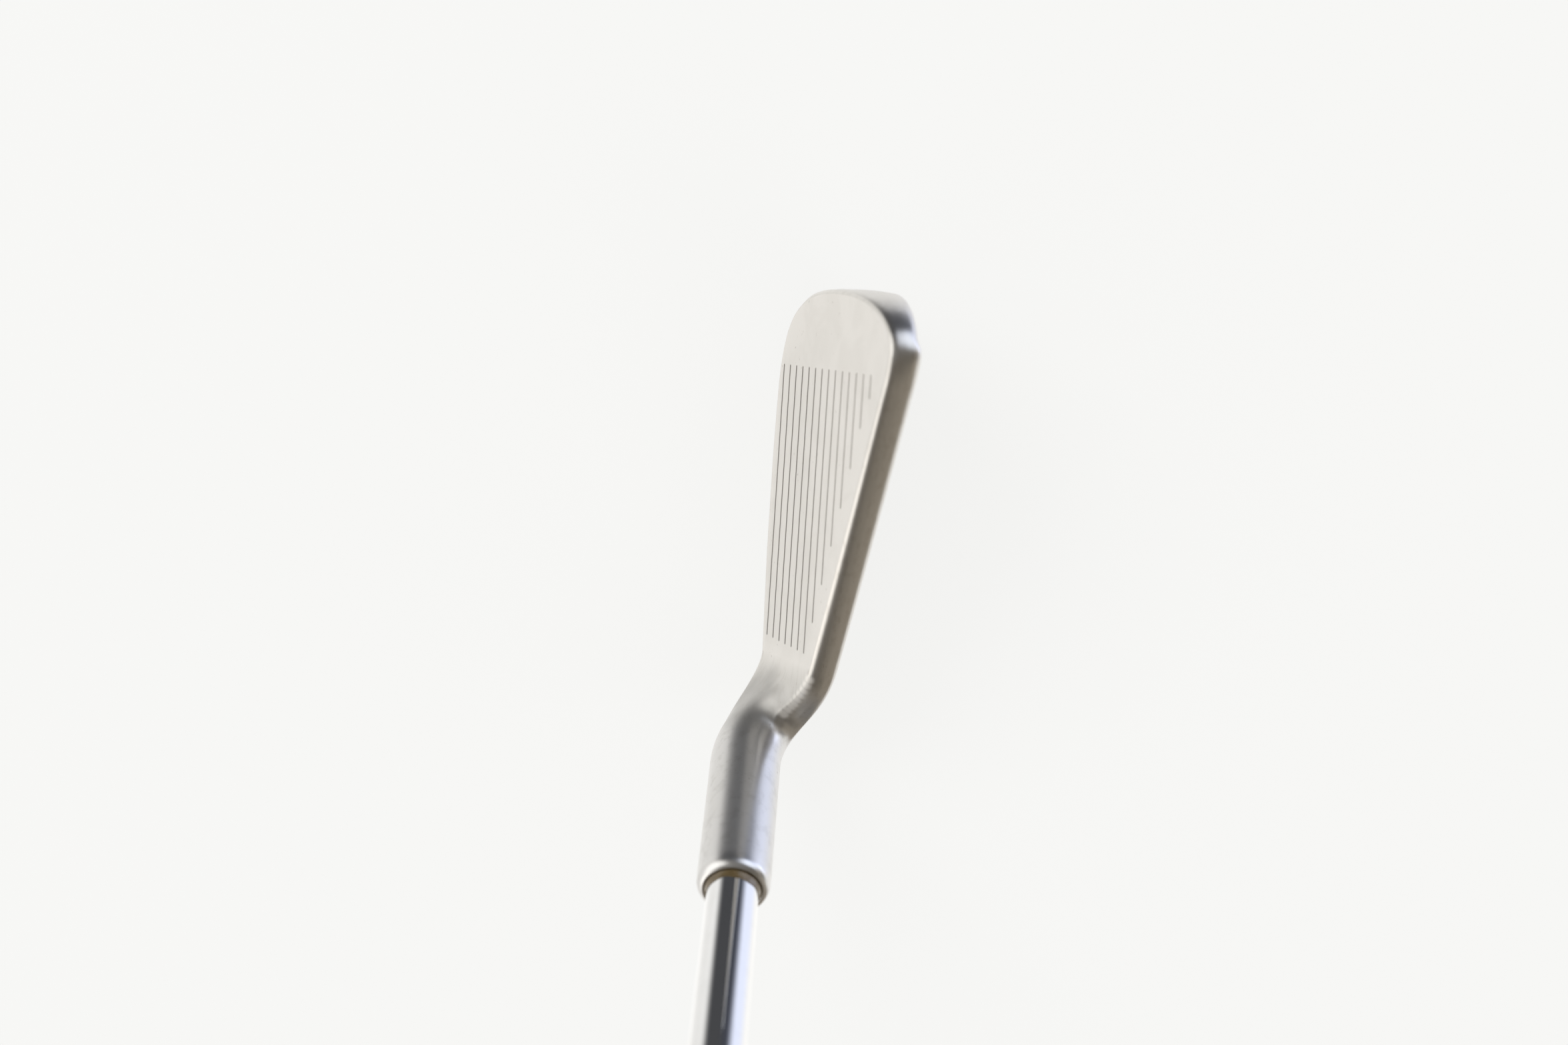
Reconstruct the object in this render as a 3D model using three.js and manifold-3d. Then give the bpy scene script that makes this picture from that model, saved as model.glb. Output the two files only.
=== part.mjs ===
// Iron golf club, right-handed, about 21 degrees of loft.
//
// Millimetres. +Z up, the ground is Z = 0. -Y is the side the ball leaves from, +X runs from the toe
// to the heel and on to the grip. The origin is the contact flat of the sole, under the middle of
// the score lines. The shaft axis leaves the ground at (AXIS_X, AXIS_Y, 0) and leans to +X by the
// lie angle.

import * as THREE from 'three';
import { mergeVertices } from 'three/addons/utils/BufferGeometryUtils.js';
import Module from 'manifold-3d';

const wasm = await Module();
wasm.setup();

// ---------------------------------------------------------------- driving dimensions
const RAD = Math.PI / 180;
const LOFT = 21 * RAD;
const LIE = 60 * RAD;
const CLUB_LENGTH = 990.6;        // ground to the end of the grip cap, along the shaft axis
const AXIS_X = 37.5;              // where the shaft axis meets the ground
const AXIS_Y = -9.2;
const FACE_Y = -7.0;              // the lowest score line
const FACE_Z = 6.2;

const HOSEL_R = 6.6;
const HOSEL_MOUTH = 57.3;         // along the shaft axis from the ground
const BORE_R = 4.92;
const BORE_DEPTH = 29.5;
const BORE_FLOOR = HOSEL_MOUTH - BORE_DEPTH;

const SEGMENTS = 32;              // every closed section shares this count
const RING_START = 140.625 * RAD; // start angle of the round sections

// ---------------------------------------------------------------- small helpers
const clamp01 = (value) => Math.min(1, Math.max(0, value));
const mix = (from, to, share) => from + (to - from) * share;
const mixList = (from, to, share) => from.map((value, i) => mix(value, to[i], share));

function smooth(value) {
  const share = clamp01(value);
  return share * share * (3 - 2 * share);
}

// a point given by x, height up the face and depth behind the face
function onFace(x, up, depth) {
  return [
    x,
    FACE_Y + up * Math.sin(LOFT) + depth * Math.cos(LOFT),
    FACE_Z + up * Math.cos(LOFT) - depth * Math.sin(LOFT),
  ];
}

// the reverse, for a point of a section across the blade: [height up the face, depth]
function toFace(y, z) {
  const dy = y - FACE_Y;
  const dz = z - FACE_Z;
  return [
    dy * Math.sin(LOFT) + dz * Math.cos(LOFT),
    dy * Math.cos(LOFT) - dz * Math.sin(LOFT),
  ];
}

// joins coincident points and drops the triangles that collapse
function weld(geometry) {
  geometry.deleteAttribute('normal');
  geometry.deleteAttribute('uv');
  const welded = mergeVertices(geometry, 1e-4);
  const index = welded.index.array;
  const kept = [];
  for (let i = 0; i < index.length; i += 3) {
    const [a, b, c] = index.slice(i, i + 3);
    if (a !== b && b !== c && a !== c) kept.push(a, b, c);
  }
  welded.setIndex(kept);
  return welded;
}

// a skin over closed rings that all have the same number of points
function skin(rings) {
  const triangles = [];
  const count = rings[0].length;
  for (let r = 0; r + 1 < rings.length; r += 1) {
    for (let k = 0; k < count; k += 1) {
      const here = r * count + k;
      const beside = r * count + ((k + 1) % count);
      triangles.push(here, beside + count, beside, here, here + count, beside + count);
    }
  }
  const geometry = new THREE.BufferGeometry();
  geometry.setAttribute('position', new THREE.Float32BufferAttribute(rings.flat(2), 3));
  geometry.setIndex(triangles);
  return weld(geometry);
}

function toSolid(welded) {
  return new wasm.Manifold(new wasm.Mesh({
    numProp: 3,
    vertProperties: new Float32Array(welded.attributes.position.array),
    triVerts: new Uint32Array(welded.index.array),
  }));
}

function fromSolid(solid) {
  const mesh = solid.getMesh();
  const geometry = new THREE.BufferGeometry();
  const positions = new Float32Array(mesh.vertProperties);
  geometry.setAttribute('position', new THREE.BufferAttribute(positions, 3));
  geometry.setIndex(Array.from(mesh.triVerts));
  geometry.computeVertexNormals();
  return geometry;
}

// ---------------------------------------------------------------- blade outline
const HEEL_X = 29.4;              // where the blade hands over to the neck
const TOE_BEND_X = -22;           // where the outline starts to turn round the toe
const TOE_TIP = [-40.6, 23.5];    // outermost point of the toe, (x, height up the face)

// (x, height up the face) of the outer edge of the face bevel, from the heel round the toe
const TOP_OUTLINE = [
  [29.5, 24.9], [21.6, 28.9], [15.0, 32.2], [8.7, 35.3], [2.3, 38.4], [-3.9, 41.4],
  [-10.0, 44.3], [-16.1, 47.2], [-22.0, 50.0], [-26.9, 52.3], [-30.3, 53.1], [-33.5, 51.9],
  [-36.3, 48.3], [-38.8, 41.5], [-40.2, 33.0], TOE_TIP,
];
const LOW_OUTLINE = [
  [29.5, -2.0], [24.0, -2.35], [16.0, -2.8], [9.0, -3.1], [0.0, -3.1], [-9.0, -3.1],
  [-16.0, -2.8], [-22.0, -2.4], [-26.0, -1.8], [-29.2, -0.9], [-32.4, 0.6], [-35.6, 3.6],
  [-38.9, 10.2], [-40.2, 16.6], TOE_TIP,
];

function curveThrough(outline) {
  const points = outline.map(([x, up]) => new THREE.Vector3(x, up, 0));
  return new THREE.CatmullRomCurve3(points, false, 'centripetal');
}
const topCurve = curveThrough(TOP_OUTLINE);
const lowCurve = curveThrough(LOW_OUTLINE);

// curve parameter where a curve passes a given x; x falls along both curves
function parameterAt(curve, x) {
  let low = 0;
  let high = 1;
  for (let i = 0; i < 40; i += 1) {
    const middle = (low + high) / 2;
    if (curve.getPointAt(middle).x > x) low = middle;
    else high = middle;
  }
  return (low + high) / 2;
}

// ---------------------------------------------------------------- walls round the outline
// Each wall is nine points across, from the edge of the flat face to the back, as
// [depth behind the face, step outwards from the outline].
const BEVEL = 0.85;
function topWall(depth) {
  return [
    [0, -BEVEL], [0.28, -0.34], [BEVEL, 0],
    [mix(BEVEL, depth, 0.28), 0.22], [mix(BEVEL, depth, 0.52), 0.28],
    [mix(BEVEL, depth, 0.76), 0.18],
    [depth - 0.55, -0.12], [depth - 0.08, -0.55], [depth + 0.25, -1.3],
  ];
}

// (y, z) across the sole, from the leading edge to the trailing edge
const SOLE_YZ = [
  [-7.97, 3.68], [-8.1, 2.96], [-7.51, 1.55], [-6.5, 1.0], [-2.2, 0.0],
  [2.2, 0.0], [6.0, 0.45], [8.2, 1.6], [9.2, 3.4],
];
const SOLE_OUTLINE_UP = -3.1;
const [TRAILING_Y, TRAILING_Z] = SOLE_YZ.at(-1);
const SOLE_DEPTH = toFace(TRAILING_Y, TRAILING_Z)[1];
function soleWall(depth) {
  const growth = depth - SOLE_DEPTH;
  return SOLE_YZ.map(([y, z], k) => {
    const [up, sectionDepth] = toFace(y, z);
    // only the last three points move with the trailing edge
    const share = Math.max(0, k - 5) / 3;
    return [k === 0 ? 0 : sectionDepth + growth * share, SOLE_OUTLINE_UP - up];
  });
}

// depth of the trailing edge behind the face, for a given x
const TRAILING_TOE_X = -34;
const TRAILING_RUN = 63;          // from there towards the heel
const TRAILING_TOE_Y = 10.3;      // trailing edge of the sole near the toe and near the heel
const TRAILING_HEEL_Y = 6.6;
function trailingDepth(x) {
  const share = clamp01((x - TRAILING_TOE_X) / TRAILING_RUN);
  return toFace(mix(TRAILING_TOE_Y, TRAILING_HEEL_Y, share), TRAILING_Z)[1];
}

// depth of the wall along the upper outline: changes little on the top line, grows down the toe
const TOPLINE_TOE = 5.9;          // thickness of the top line at the toe and at the heel
const TOPLINE_HEEL = 5.47;
const TOPLINE_RUN = 55;
const TOE_START_X = -30.5;        // where the top line turns into the toe
const TOE_START_UP = 52.7;
const TOE_CORNER_DROP = 0.8;      // how far the back edge steps in at that corner
const TOE_CORNER_RUN = 3;
const TOE_WALL_GROWTH = 0.245;    // extra wall depth per millimetre down the toe
function upperDepth(x, up) {
  if (x > TOE_START_X) {
    return mix(TOPLINE_HEEL, TOPLINE_TOE, clamp01((HEEL_X - x) / TOPLINE_RUN));
  }
  const drop = TOE_CORNER_DROP * smooth((TOE_START_X - x) / TOE_CORNER_RUN);
  return TOPLINE_TOE - drop + Math.max(0, TOE_START_UP - up) * TOE_WALL_GROWTH;
}

// wall points for a profile set on an outline point, with outwards as (x, up)
function placeWall(point, [outX, outUp], profile) {
  return profile.map(([depth, step]) => (
    { x: point.x + outX * step, up: point.y + outUp * step, depth }
  ));
}

function upperWallAt(t) {
  const point = topCurve.getPointAt(t);
  const tangent = topCurve.getTangentAt(t);
  // the tip is made to face straight out along the toe
  const outwards = t === 1 ? [-1, 0] : [tangent.y, -tangent.x];
  return placeWall(point, outwards, topWall(upperDepth(point.x, point.y)));
}

// the sole profile turns into the toe profile on the way round to the tip
const TOE_PROFILE = topWall(upperDepth(...TOE_TIP));
function lowerWallAt(t) {
  const point = lowCurve.getPointAt(t);
  const tangent = lowCurve.getTangentAt(t);
  const risen = smooth((point.y - SOLE_OUTLINE_UP) / (TOE_TIP[1] - SOLE_OUTLINE_UP));
  const toeward = smooth((TOE_BEND_X - point.x) / (TOE_BEND_X - TOE_TIP[0]));
  const toeShare = risen * 0.5 + toeward * 0.5;
  const sole = soleWall(trailingDepth(point.x));
  const profile = sole.map((pair, k) => mixList(pair, TOE_PROFILE[k], toeShare));
  return placeWall(point, [-tangent.y, tangent.x], profile);
}

// ---------------------------------------------------------------- ribs across the blade
// One rib is a closed ring: top wall (9), back (8), sole wall (9), face (6).
const BACK_POINTS = 8;
const FACE_POINTS = 6;
const LEADING_PLACE = SEGMENTS - FACE_POINTS - 1;   // the last sole wall point, next to the face

const FACE_THICK = 3.0;           // depth of the cavity floor
const CAVITY_TOE_X = -32.5;
const CAVITY_HEEL_X = 21.5;
const CAVITY_RIM = 4.6;           // below the back edge of the top line
const CAVITY_LEDGE = 10.5;        // height of the ledge up the face, and its rise to the floor
const CAVITY_LEDGE_RUN = 3.0;
const LOW_RIB = 22;               // ribs this low have an even, solid back
const LOW_RIB_BLEND = 6;
// for the back points downwards: 1 on the cavity floor, 0 on the outer back
const CAVITY_SHARE = [0, 1, 1, 1, 1, 0.35, 0, 0];

const facePoint = (point) => onFace(point.x, point.up, point.depth);

// the back points between the back edges of the two walls
function backPoints(top, low, cavity) {
  const height = top.up - low.up;
  const rimUp = top.up - CAVITY_RIM;
  const cavityUps = [
    rimUp + 1.3, rimUp + 0.4,
    mix(rimUp, CAVITY_LEDGE, 0.33), mix(rimUp, CAVITY_LEDGE, 0.66),
    CAVITY_LEDGE + CAVITY_LEDGE_RUN, CAVITY_LEDGE + CAVITY_LEDGE_RUN * 0.4, CAVITY_LEDGE,
    mix(CAVITY_LEDGE, low.up, 0.5),
  ];
  const fit = smooth((height - LOW_RIB) / LOW_RIB_BLEND);
  return cavityUps.map((cavityUp, j) => {
    const evenUp = top.up - (height * (j + 1)) / (BACK_POINTS + 1);
    const up = mix(evenUp, cavityUp, fit);
    const down = (top.up - up) / height;
    const outerDepth = mix(top.depth, low.depth, down);
    const depth = mix(outerDepth, FACE_THICK, CAVITY_SHARE[j] * cavity * fit);
    return onFace(mix(top.x, low.x, down), up, depth);
  });
}

// cavity is 1 where the back is hollowed and 0 where it is not
function rib(tTop, tLow, cavity) {
  const top = upperWallAt(tTop);
  const low = lowerWallAt(tLow);
  const face = Array.from({ length: FACE_POINTS }, (_, j) => {
    const share = (j + 1) / (FACE_POINTS + 1);
    return onFace(mix(low[0].x, top[0].x, share), mix(low[0].up, top[0].up, share), 0);
  });
  return [
    ...top.map(facePoint),
    ...backPoints(top.at(-1), low.at(-1), cavity),
    ...low.map(facePoint).reverse(),
    ...face,
  ];
}

// the last rib closes on itself: both walls meet along the toe line
function closingRib() {
  const wall = upperWallAt(1).map(facePoint);
  return [
    ...wall,
    ...Array(BACK_POINTS).fill(wall.at(-1)),
    ...[...wall].reverse(),
    ...Array(FACE_POINTS).fill(wall[0]),
  ];
}

// x of the ribs that stand straight across the blade
const STRAIGHT_RIBS = [
  HEEL_X, 26.4, CAVITY_HEEL_X + 0.7, CAVITY_HEEL_X,
  18, 13.5, 9, 4.5, 0, -4.5, -9, -13.5, -18, TOE_BEND_X,
];
const TOE_RIBS = 17;              // ribs that fan round the toe, the closing one included
const TOE_CROWDING = 1.15;        // above 1 packs them towards the tip

function bladeRibs() {
  const ribs = STRAIGHT_RIBS.map((x) => (
    rib(parameterAt(topCurve, x), parameterAt(lowCurve, x), x <= CAVITY_HEEL_X ? 1 : 0)
  ));
  const topBend = parameterAt(topCurve, TOE_BEND_X);
  const lowBend = parameterAt(lowCurve, TOE_BEND_X);
  for (let i = 1; i < TOE_RIBS; i += 1) {
    const share = 1 - (1 - i / TOE_RIBS) ** TOE_CROWDING;
    const tTop = mix(topBend, 1, share);
    const tLow = mix(lowBend, 1, share);
    const x = (topCurve.getPointAt(tTop).x + lowCurve.getPointAt(tLow).x) / 2;
    ribs.push(rib(tTop, tLow, x > CAVITY_TOE_X ? 1 : 0));
  }
  ribs.push(closingRib());
  return ribs;
}

// ---------------------------------------------------------------- neck and hosel
const AXIS_DIR = [Math.cos(LIE), 0, Math.sin(LIE)];
const ACROSS_DIR = [-Math.sin(LIE), 0, Math.cos(LIE)];   // square to the axis, to the toe and up
const BARREL_START = 23.6;        // along the shaft axis from the ground
const NECK_RINGS = 16;
const NECK_FACE_DROP = 0.24;      // how much the face points first dip down the face
const NECK_SHIFT = 6;             // the blade's points land this many places further round

// The neck lists are read at every fourth point of a rib, from the face edge of the top line
// over its back edge, the back, the sole and the leading edge to the face.
// degrees round the barrel
const NECK_TURN = [-86.8, -67.4, -68.2, -46.3, -33.7, -30.7, -35.1, -40.6];
// how long the neck keeps the blade's direction and the barrel's
const NECK_PULL_BLADE = [28.6, 35.8, 37.7, 31.8, 24.2, 17.6, 14.8, 21.1];
const NECK_PULL_BARREL = [38.1, 38.0, 39.3, 41.6, 42.9, 43.3, 42.5, 39.2];

// [distance along the axis, ease of the ring]
const BARREL_EASE = [[26, 0.93], [30, 0.75], [34, 0.52], [38, 0.3], [42, 0.12], [46, 0]];
// the mouth is fully rounded, from the barrel over to the bore: [drop below the mouth, radius]
const LIP = [
  [2.0, HOSEL_R], [1.15, HOSEL_R - 0.17], [0.5, HOSEL_R - 0.55],
  [0.12, HOSEL_R - 1.0], [0, HOSEL_R - 1.4], [0.3, BORE_R],
];
const BORE_POINT = 1.4;           // depth of the cone that closes the bore

// smooth closed curve through the values of a list, at place k of the 32 round the section
function roundSection(list, k) {
  const count = list.length;
  const place = (k * count) / SEGMENTS;
  const i = Math.floor(place);
  const t = place - i;
  const [a, b, c, d] = [-1, 0, 1, 2].map((j) => list[(i + j + count) % count]);
  const square = (2 * a - 5 * b + 4 * c - d) * t * t;
  const cube = (3 * b - a - 3 * c + d) * t ** 3;
  return 0.5 * (2 * b + (c - a) * t + square + cube);
}

// a ring on the barrel: ease 1 has its points where the neck brings them, ease 0 spaces them evenly
function barrelRing(along, radius, ease) {
  const step = (2 * Math.PI) / SEGMENTS;
  return Array.from({ length: SEGMENTS }, (_, k) => {
    const even = RING_START - (k + NECK_SHIFT) * step;
    const turned = RING_START - k * step + roundSection(NECK_TURN, k) * RAD;
    const angle = mix(even, turned, ease);
    const across = radius * Math.sin(angle);
    return [
      AXIS_X + AXIS_DIR[0] * along + ACROSS_DIR[0] * across,
      AXIS_Y + radius * Math.cos(angle),
      AXIS_DIR[2] * along + ACROSS_DIR[2] * across,
    ];
  });
}

// direction in which point k of the heel rib leaves the blade
function neckDirection(from, inner, k) {
  const direction = new THREE.Vector3(...from).sub(new THREE.Vector3(...inner)).normalize();
  const faceShare = (k - LEADING_PLACE) / (FACE_POINTS + 1);
  const drop = faceShare > 0 ? NECK_FACE_DROP * Math.sin(Math.PI * faceShare) ** 2 : 0;
  direction.y -= Math.sin(LOFT) * drop;
  direction.z -= Math.cos(LOFT) * drop;
  return direction.normalize().toArray();
}

// the neck: every point of the heel rib runs along its own cubic to its place on the barrel
function neckRing(heelRib, nextRib, w) {
  const barrel = barrelRing(BARREL_START, HOSEL_R, 1);
  const startWeight = 2 * w ** 3 - 3 * w ** 2 + 1;
  const startPull = w ** 3 - 2 * w ** 2 + w;
  const endWeight = -2 * w ** 3 + 3 * w ** 2;
  const endPull = w ** 3 - w ** 2;
  return heelRib.map((point, k) => {
    const direction = neckDirection(point, nextRib[k], k);
    const bladePull = startPull * roundSection(NECK_PULL_BLADE, k);
    const barrelPull = endPull * roundSection(NECK_PULL_BARREL, k);
    return point.map((value, i) => (
      startWeight * value + bladePull * direction[i]
      + endWeight * barrel[k][i] + barrelPull * AXIS_DIR[i]
    ));
  });
}

function headBody() {
  const ribs = bladeRibs();
  const rings = [...ribs].reverse();
  for (let i = 1; i <= NECK_RINGS; i += 1) {
    rings.push(neckRing(ribs[0], ribs[1], i / NECK_RINGS));
  }
  BARREL_EASE.forEach(([along, ease]) => rings.push(barrelRing(along, HOSEL_R, ease)));
  LIP.forEach(([drop, radius]) => rings.push(barrelRing(HOSEL_MOUTH - drop, radius, 0)));
  rings.push(barrelRing(BORE_FLOOR, BORE_R, 0));
  rings.push(barrelRing(BORE_FLOOR - BORE_POINT, 0, 0));
  return toSolid(skin(rings));
}

// ---------------------------------------------------------------- score lines
const SCORE_PITCH = 3.43;
const SCORE_TOE_X = -26.1;
// heel end of each line, from the lowest up
const SCORE_HEEL_X = [
  26.2, 26.3, 26.4, 26.5, 26.5, 26.6, 26.7, 20.5, 13.0, 5.6, -1.6, -9.0, -16.4, -21.8,
];
const SCORE_WIDTH = 0.75;
const SCORE_DEPTH = 0.4;
const SCORE_OVERCUT = 0.2;        // how far the cutter stands out of the face

// a shallow flat-bottomed vee
function scoreCutter(heelX, i) {
  const topHalf = (SCORE_WIDTH / 2) * 1.25;
  const floorHalf = (SCORE_WIDTH / 2) * 0.35;
  const section = new THREE.Shape([
    new THREE.Vector2(-topHalf, SCORE_OVERCUT), new THREE.Vector2(-floorHalf, -SCORE_DEPTH),
    new THREE.Vector2(floorHalf, -SCORE_DEPTH), new THREE.Vector2(topHalf, SCORE_OVERCUT),
  ]);
  const length = heelX - SCORE_TOE_X;
  const cutter = new THREE.ExtrudeGeometry(section, { depth: length, bevelEnabled: false });
  // section x runs up the face, section y out of the face, the extrusion runs to the heel
  const up = new THREE.Vector3(0, Math.sin(LOFT), Math.cos(LOFT));
  const out = new THREE.Vector3(0, -Math.cos(LOFT), Math.sin(LOFT));
  const along = new THREE.Vector3(1, 0, 0);
  const placement = new THREE.Matrix4().makeBasis(up, out, along);
  placement.setPosition(...onFace(SCORE_TOE_X, i * SCORE_PITCH, 0));
  cutter.applyMatrix4(placement);
  return toSolid(weld(cutter));
}

function clubHead() {
  const cutters = SCORE_HEEL_X.map(scoreCutter);
  return fromSolid(cutters.reduce((solid, cutter) => solid.subtract(cutter), headBody()));
}

// ---------------------------------------------------------------- round pieces on the shaft axis
// A profile is a list of [radius, distance along the axis], closed back to its first point.
// It runs up its outer side and down its inner side, so that the faces look outwards.
function turned(profile) {
  const points = [...profile, profile[0]].map(([r, along]) => new THREE.Vector2(r, along));
  const lathe = new THREE.LatheGeometry(points, SEGMENTS, RING_START - Math.PI, 2 * Math.PI);
  lathe.rotateX(Math.PI / 2);
  const geometry = weld(lathe);
  geometry.computeVertexNormals();
  return geometry;
}

// a plain thin tube
function tube(innerR, wall, start, end) {
  return turned([[innerR, start], [innerR + wall, start], [innerR + wall, end], [innerR, end]]);
}

const BOND_GAP = 0.06;            // clearance between bonded pieces

// ---------------------------------------------------------------- shaft
const SHAFT_MOUTH_R = 4.63;       // radius at the hosel mouth
const SHAFT_TAPER = 0.00375;      // radius per millimetre
const SHAFT_TIP_MAX_R = 5.02;
const SHAFT_BUTT_R = 7.62;
const SHAFT_STEPS = 12;
const STEP_PITCH = 38.1;
const STEP_RUN = 0.9;             // length of the slope of one step
const FIRST_STEP = 298.5;
const SHAFT_TIP = BORE_FLOOR + 1.7;
const SHAFT_END = 981.0;
const SHAFT_WALL_TIP = 0.85;
const SHAFT_WALL_FIRST_STEP = 0.55;
const SHAFT_WALL_BUTT = 0.36;
const TIP_BORE_RUN = 45;          // length of the tip with the thickest wall

const shaftR = (along) => (
  Math.min(SHAFT_TIP_MAX_R, SHAFT_MOUTH_R + SHAFT_TAPER * (along - HOSEL_MOUTH))
);
const stepR = (n) => SHAFT_TIP_MAX_R + ((SHAFT_BUTT_R - SHAFT_TIP_MAX_R) / SHAFT_STEPS) * n;
const TIP_BORE_R = shaftR(SHAFT_TIP) - SHAFT_WALL_TIP;

function shaft() {
  const taperEnd = HOSEL_MOUTH + (SHAFT_TIP_MAX_R - SHAFT_MOUTH_R) / SHAFT_TAPER;
  const outer = [
    [shaftR(SHAFT_TIP) - 0.35, SHAFT_TIP], [shaftR(SHAFT_TIP), SHAFT_TIP + 0.5],
    [SHAFT_MOUTH_R, HOSEL_MOUTH], [SHAFT_TIP_MAX_R, taperEnd],
  ];
  for (let n = 0; n < SHAFT_STEPS; n += 1) {
    const along = FIRST_STEP + n * STEP_PITCH;
    outer.push([stepR(n), along], [stepR(n + 1), along + STEP_RUN]);
  }
  outer.push([SHAFT_BUTT_R, SHAFT_END - 0.3], [SHAFT_BUTT_R - 0.25, SHAFT_END]);
  const tipBoreEnd = SHAFT_TIP + TIP_BORE_RUN;
  const inner = [
    [SHAFT_BUTT_R - SHAFT_WALL_BUTT, SHAFT_END],
    [SHAFT_BUTT_R - SHAFT_WALL_BUTT, FIRST_STEP + SHAFT_STEPS * STEP_PITCH],
    [SHAFT_TIP_MAX_R - SHAFT_WALL_FIRST_STEP, FIRST_STEP - 4],
    [shaftR(tipBoreEnd) - SHAFT_WALL_TIP, tipBoreEnd],
    [TIP_BORE_R, SHAFT_TIP],
  ];
  return turned([...outer, ...inner]);
}

// ---------------------------------------------------------------- pieces at the shaft tip
// the sleeve of epoxy in the bore, with a fillet standing above the mouth
function hoselEpoxy() {
  const start = SHAFT_TIP + 0.3;
  const mouth = HOSEL_MOUTH;
  const filletTop = mouth + 1.9;
  return turned([
    [shaftR(start) + BOND_GAP, start], [BORE_R - BOND_GAP, start],
    [BORE_R - BOND_GAP, mouth - 0.3], [BORE_R + 0.22, mouth + 0.07], [BORE_R + 0.2, mouth + 0.3],
    [SHAFT_MOUTH_R + 0.36, mouth + 0.75], [SHAFT_MOUTH_R + 0.2, mouth + 1.35],
    [SHAFT_MOUTH_R + 0.12, filletTop],
    [shaftR(filletTop) + BOND_GAP, filletTop], [SHAFT_MOUTH_R + BOND_GAP, mouth],
  ]);
}

// a plug inside the shaft tip, with a wider flange below the tip
const WEIGHT_START = BORE_FLOOR + 0.2;
const WEIGHT_LENGTH = 13.2;
function tipWeight() {
  const flangeR = 4.25;
  const flangeTop = WEIGHT_START + 1.3;
  const plugR = TIP_BORE_R - 0.1;
  const top = WEIGHT_START + WEIGHT_LENGTH;
  return turned([
    [0, WEIGHT_START], [3.9, WEIGHT_START], [flangeR, WEIGHT_START + 0.35], [flangeR, flangeTop],
    [plugR, flangeTop], [plugR, WEIGHT_START + 12.6], [TIP_BORE_R - 0.7, top], [0, top],
  ]);
}

function tipCork() {
  const start = WEIGHT_START + WEIGHT_LENGTH + 1.2;
  const end = start + 11;
  const corkR = TIP_BORE_R - 0.12;
  return turned([
    [0, start], [TIP_BORE_R - 0.45, start], [corkR, start + 1.5],
    [corkR, start + 9.5], [TIP_BORE_R - 0.4, end], [0, end],
  ]);
}

// ---------------------------------------------------------------- band, tape and grip
const BAND_WALL = 0.16;
const BAND_LENGTH = 30;
const GRIP_START = 728.6;
const GRIP_END = 985.5;
const GRIP_MOUTH_R = 9.2;
const GRIP_BUTT_R = 12.4;
const CAP_R = 13.6;
const CAP_HOLE_R = 1.3;
const TAPE_R = SHAFT_BUTT_R + BOND_GAP;
const TAPE_WALL = 0.18;
const GRIP_INNER_R = TAPE_R + TAPE_WALL + BOND_GAP;

// the band sits between the last two steps
function shaftBand() {
  const start = FIRST_STEP + (SHAFT_STEPS - 2) * STEP_PITCH + 4.0;
  return tube(stepR(SHAFT_STEPS - 1) + BOND_GAP, BAND_WALL, start, start + BAND_LENGTH);
}

const gripTape = () => tube(TAPE_R, TAPE_WALL, GRIP_START + 2, SHAFT_END - 1);

function gripSleeve() {
  return turned([
    [GRIP_INNER_R, GRIP_START], [GRIP_MOUTH_R - 0.5, GRIP_START],
    [GRIP_MOUTH_R, GRIP_START + 0.6], [GRIP_MOUTH_R + 0.05, GRIP_START + 7],
    [GRIP_MOUTH_R + 0.35, GRIP_START + 40], [GRIP_MOUTH_R + 1.25, GRIP_START + 110],
    [GRIP_MOUTH_R + 2.3, GRIP_START + 180], [GRIP_BUTT_R - 0.3, GRIP_START + 222],
    [GRIP_BUTT_R + 0.2, GRIP_END - 12], [GRIP_BUTT_R + 0.9, GRIP_END - 3],
    [GRIP_BUTT_R + 0.95, GRIP_END], [GRIP_INNER_R, GRIP_END],
  ]);
}

// a disc over the end of the grip, with a spigot inside it and a hole along the axis
function gripCap() {
  const spigotR = GRIP_INNER_R - 0.12;
  const spigotStart = SHAFT_END + 0.6;
  const discStart = GRIP_END + 0.12;
  return turned([
    [CAP_HOLE_R, spigotStart], [spigotR, spigotStart], [spigotR, discStart],
    [CAP_R - 0.35, discStart], [CAP_R, GRIP_END + 0.8], [CAP_R, CLUB_LENGTH - 1.9],
    [CAP_R - 0.55, CLUB_LENGTH - 0.75], [CAP_R - 1.5, CLUB_LENGTH - 0.12],
    [CAP_R - 2.6, CLUB_LENGTH], [CAP_HOLE_R, CLUB_LENGTH],
  ]);
}

// ---------------------------------------------------------------- materials
const FINISHES = {
  club_head: { color: 0xc9c6c0, roughness: 0.38, metalness: 1.0 },
  shaft: { color: 0xdfe2e6, roughness: 0.08, metalness: 1.0 },
  hosel_epoxy: { color: 0x7a5f36, roughness: 0.3, metalness: 0.0 },
  tip_weight: { color: 0xb79a54, roughness: 0.35, metalness: 1.0 },
  tip_cork: { color: 0xb08a5c, roughness: 0.9, metalness: 0.0 },
  shaft_band: { color: 0x3a3d42, roughness: 0.35, metalness: 0.2 },
  grip_tape: { color: 0xd8d2c0, roughness: 0.8, metalness: 0.0 },
  grip_sleeve: { color: 0x1b1b1c, roughness: 0.85, metalness: 0.0 },
  grip_cap: { color: 0x161617, roughness: 0.6, metalness: 0.0 },
};

// ---------------------------------------------------------------- scene graph
function addPiece(parent, name, geometry) {
  const mesh = new THREE.Mesh(geometry, new THREE.MeshStandardMaterial(FINISHES[name]));
  mesh.name = name;
  parent.add(mesh);
}

const club = new THREE.Group();
addPiece(club, 'club_head', clubHead());

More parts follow.
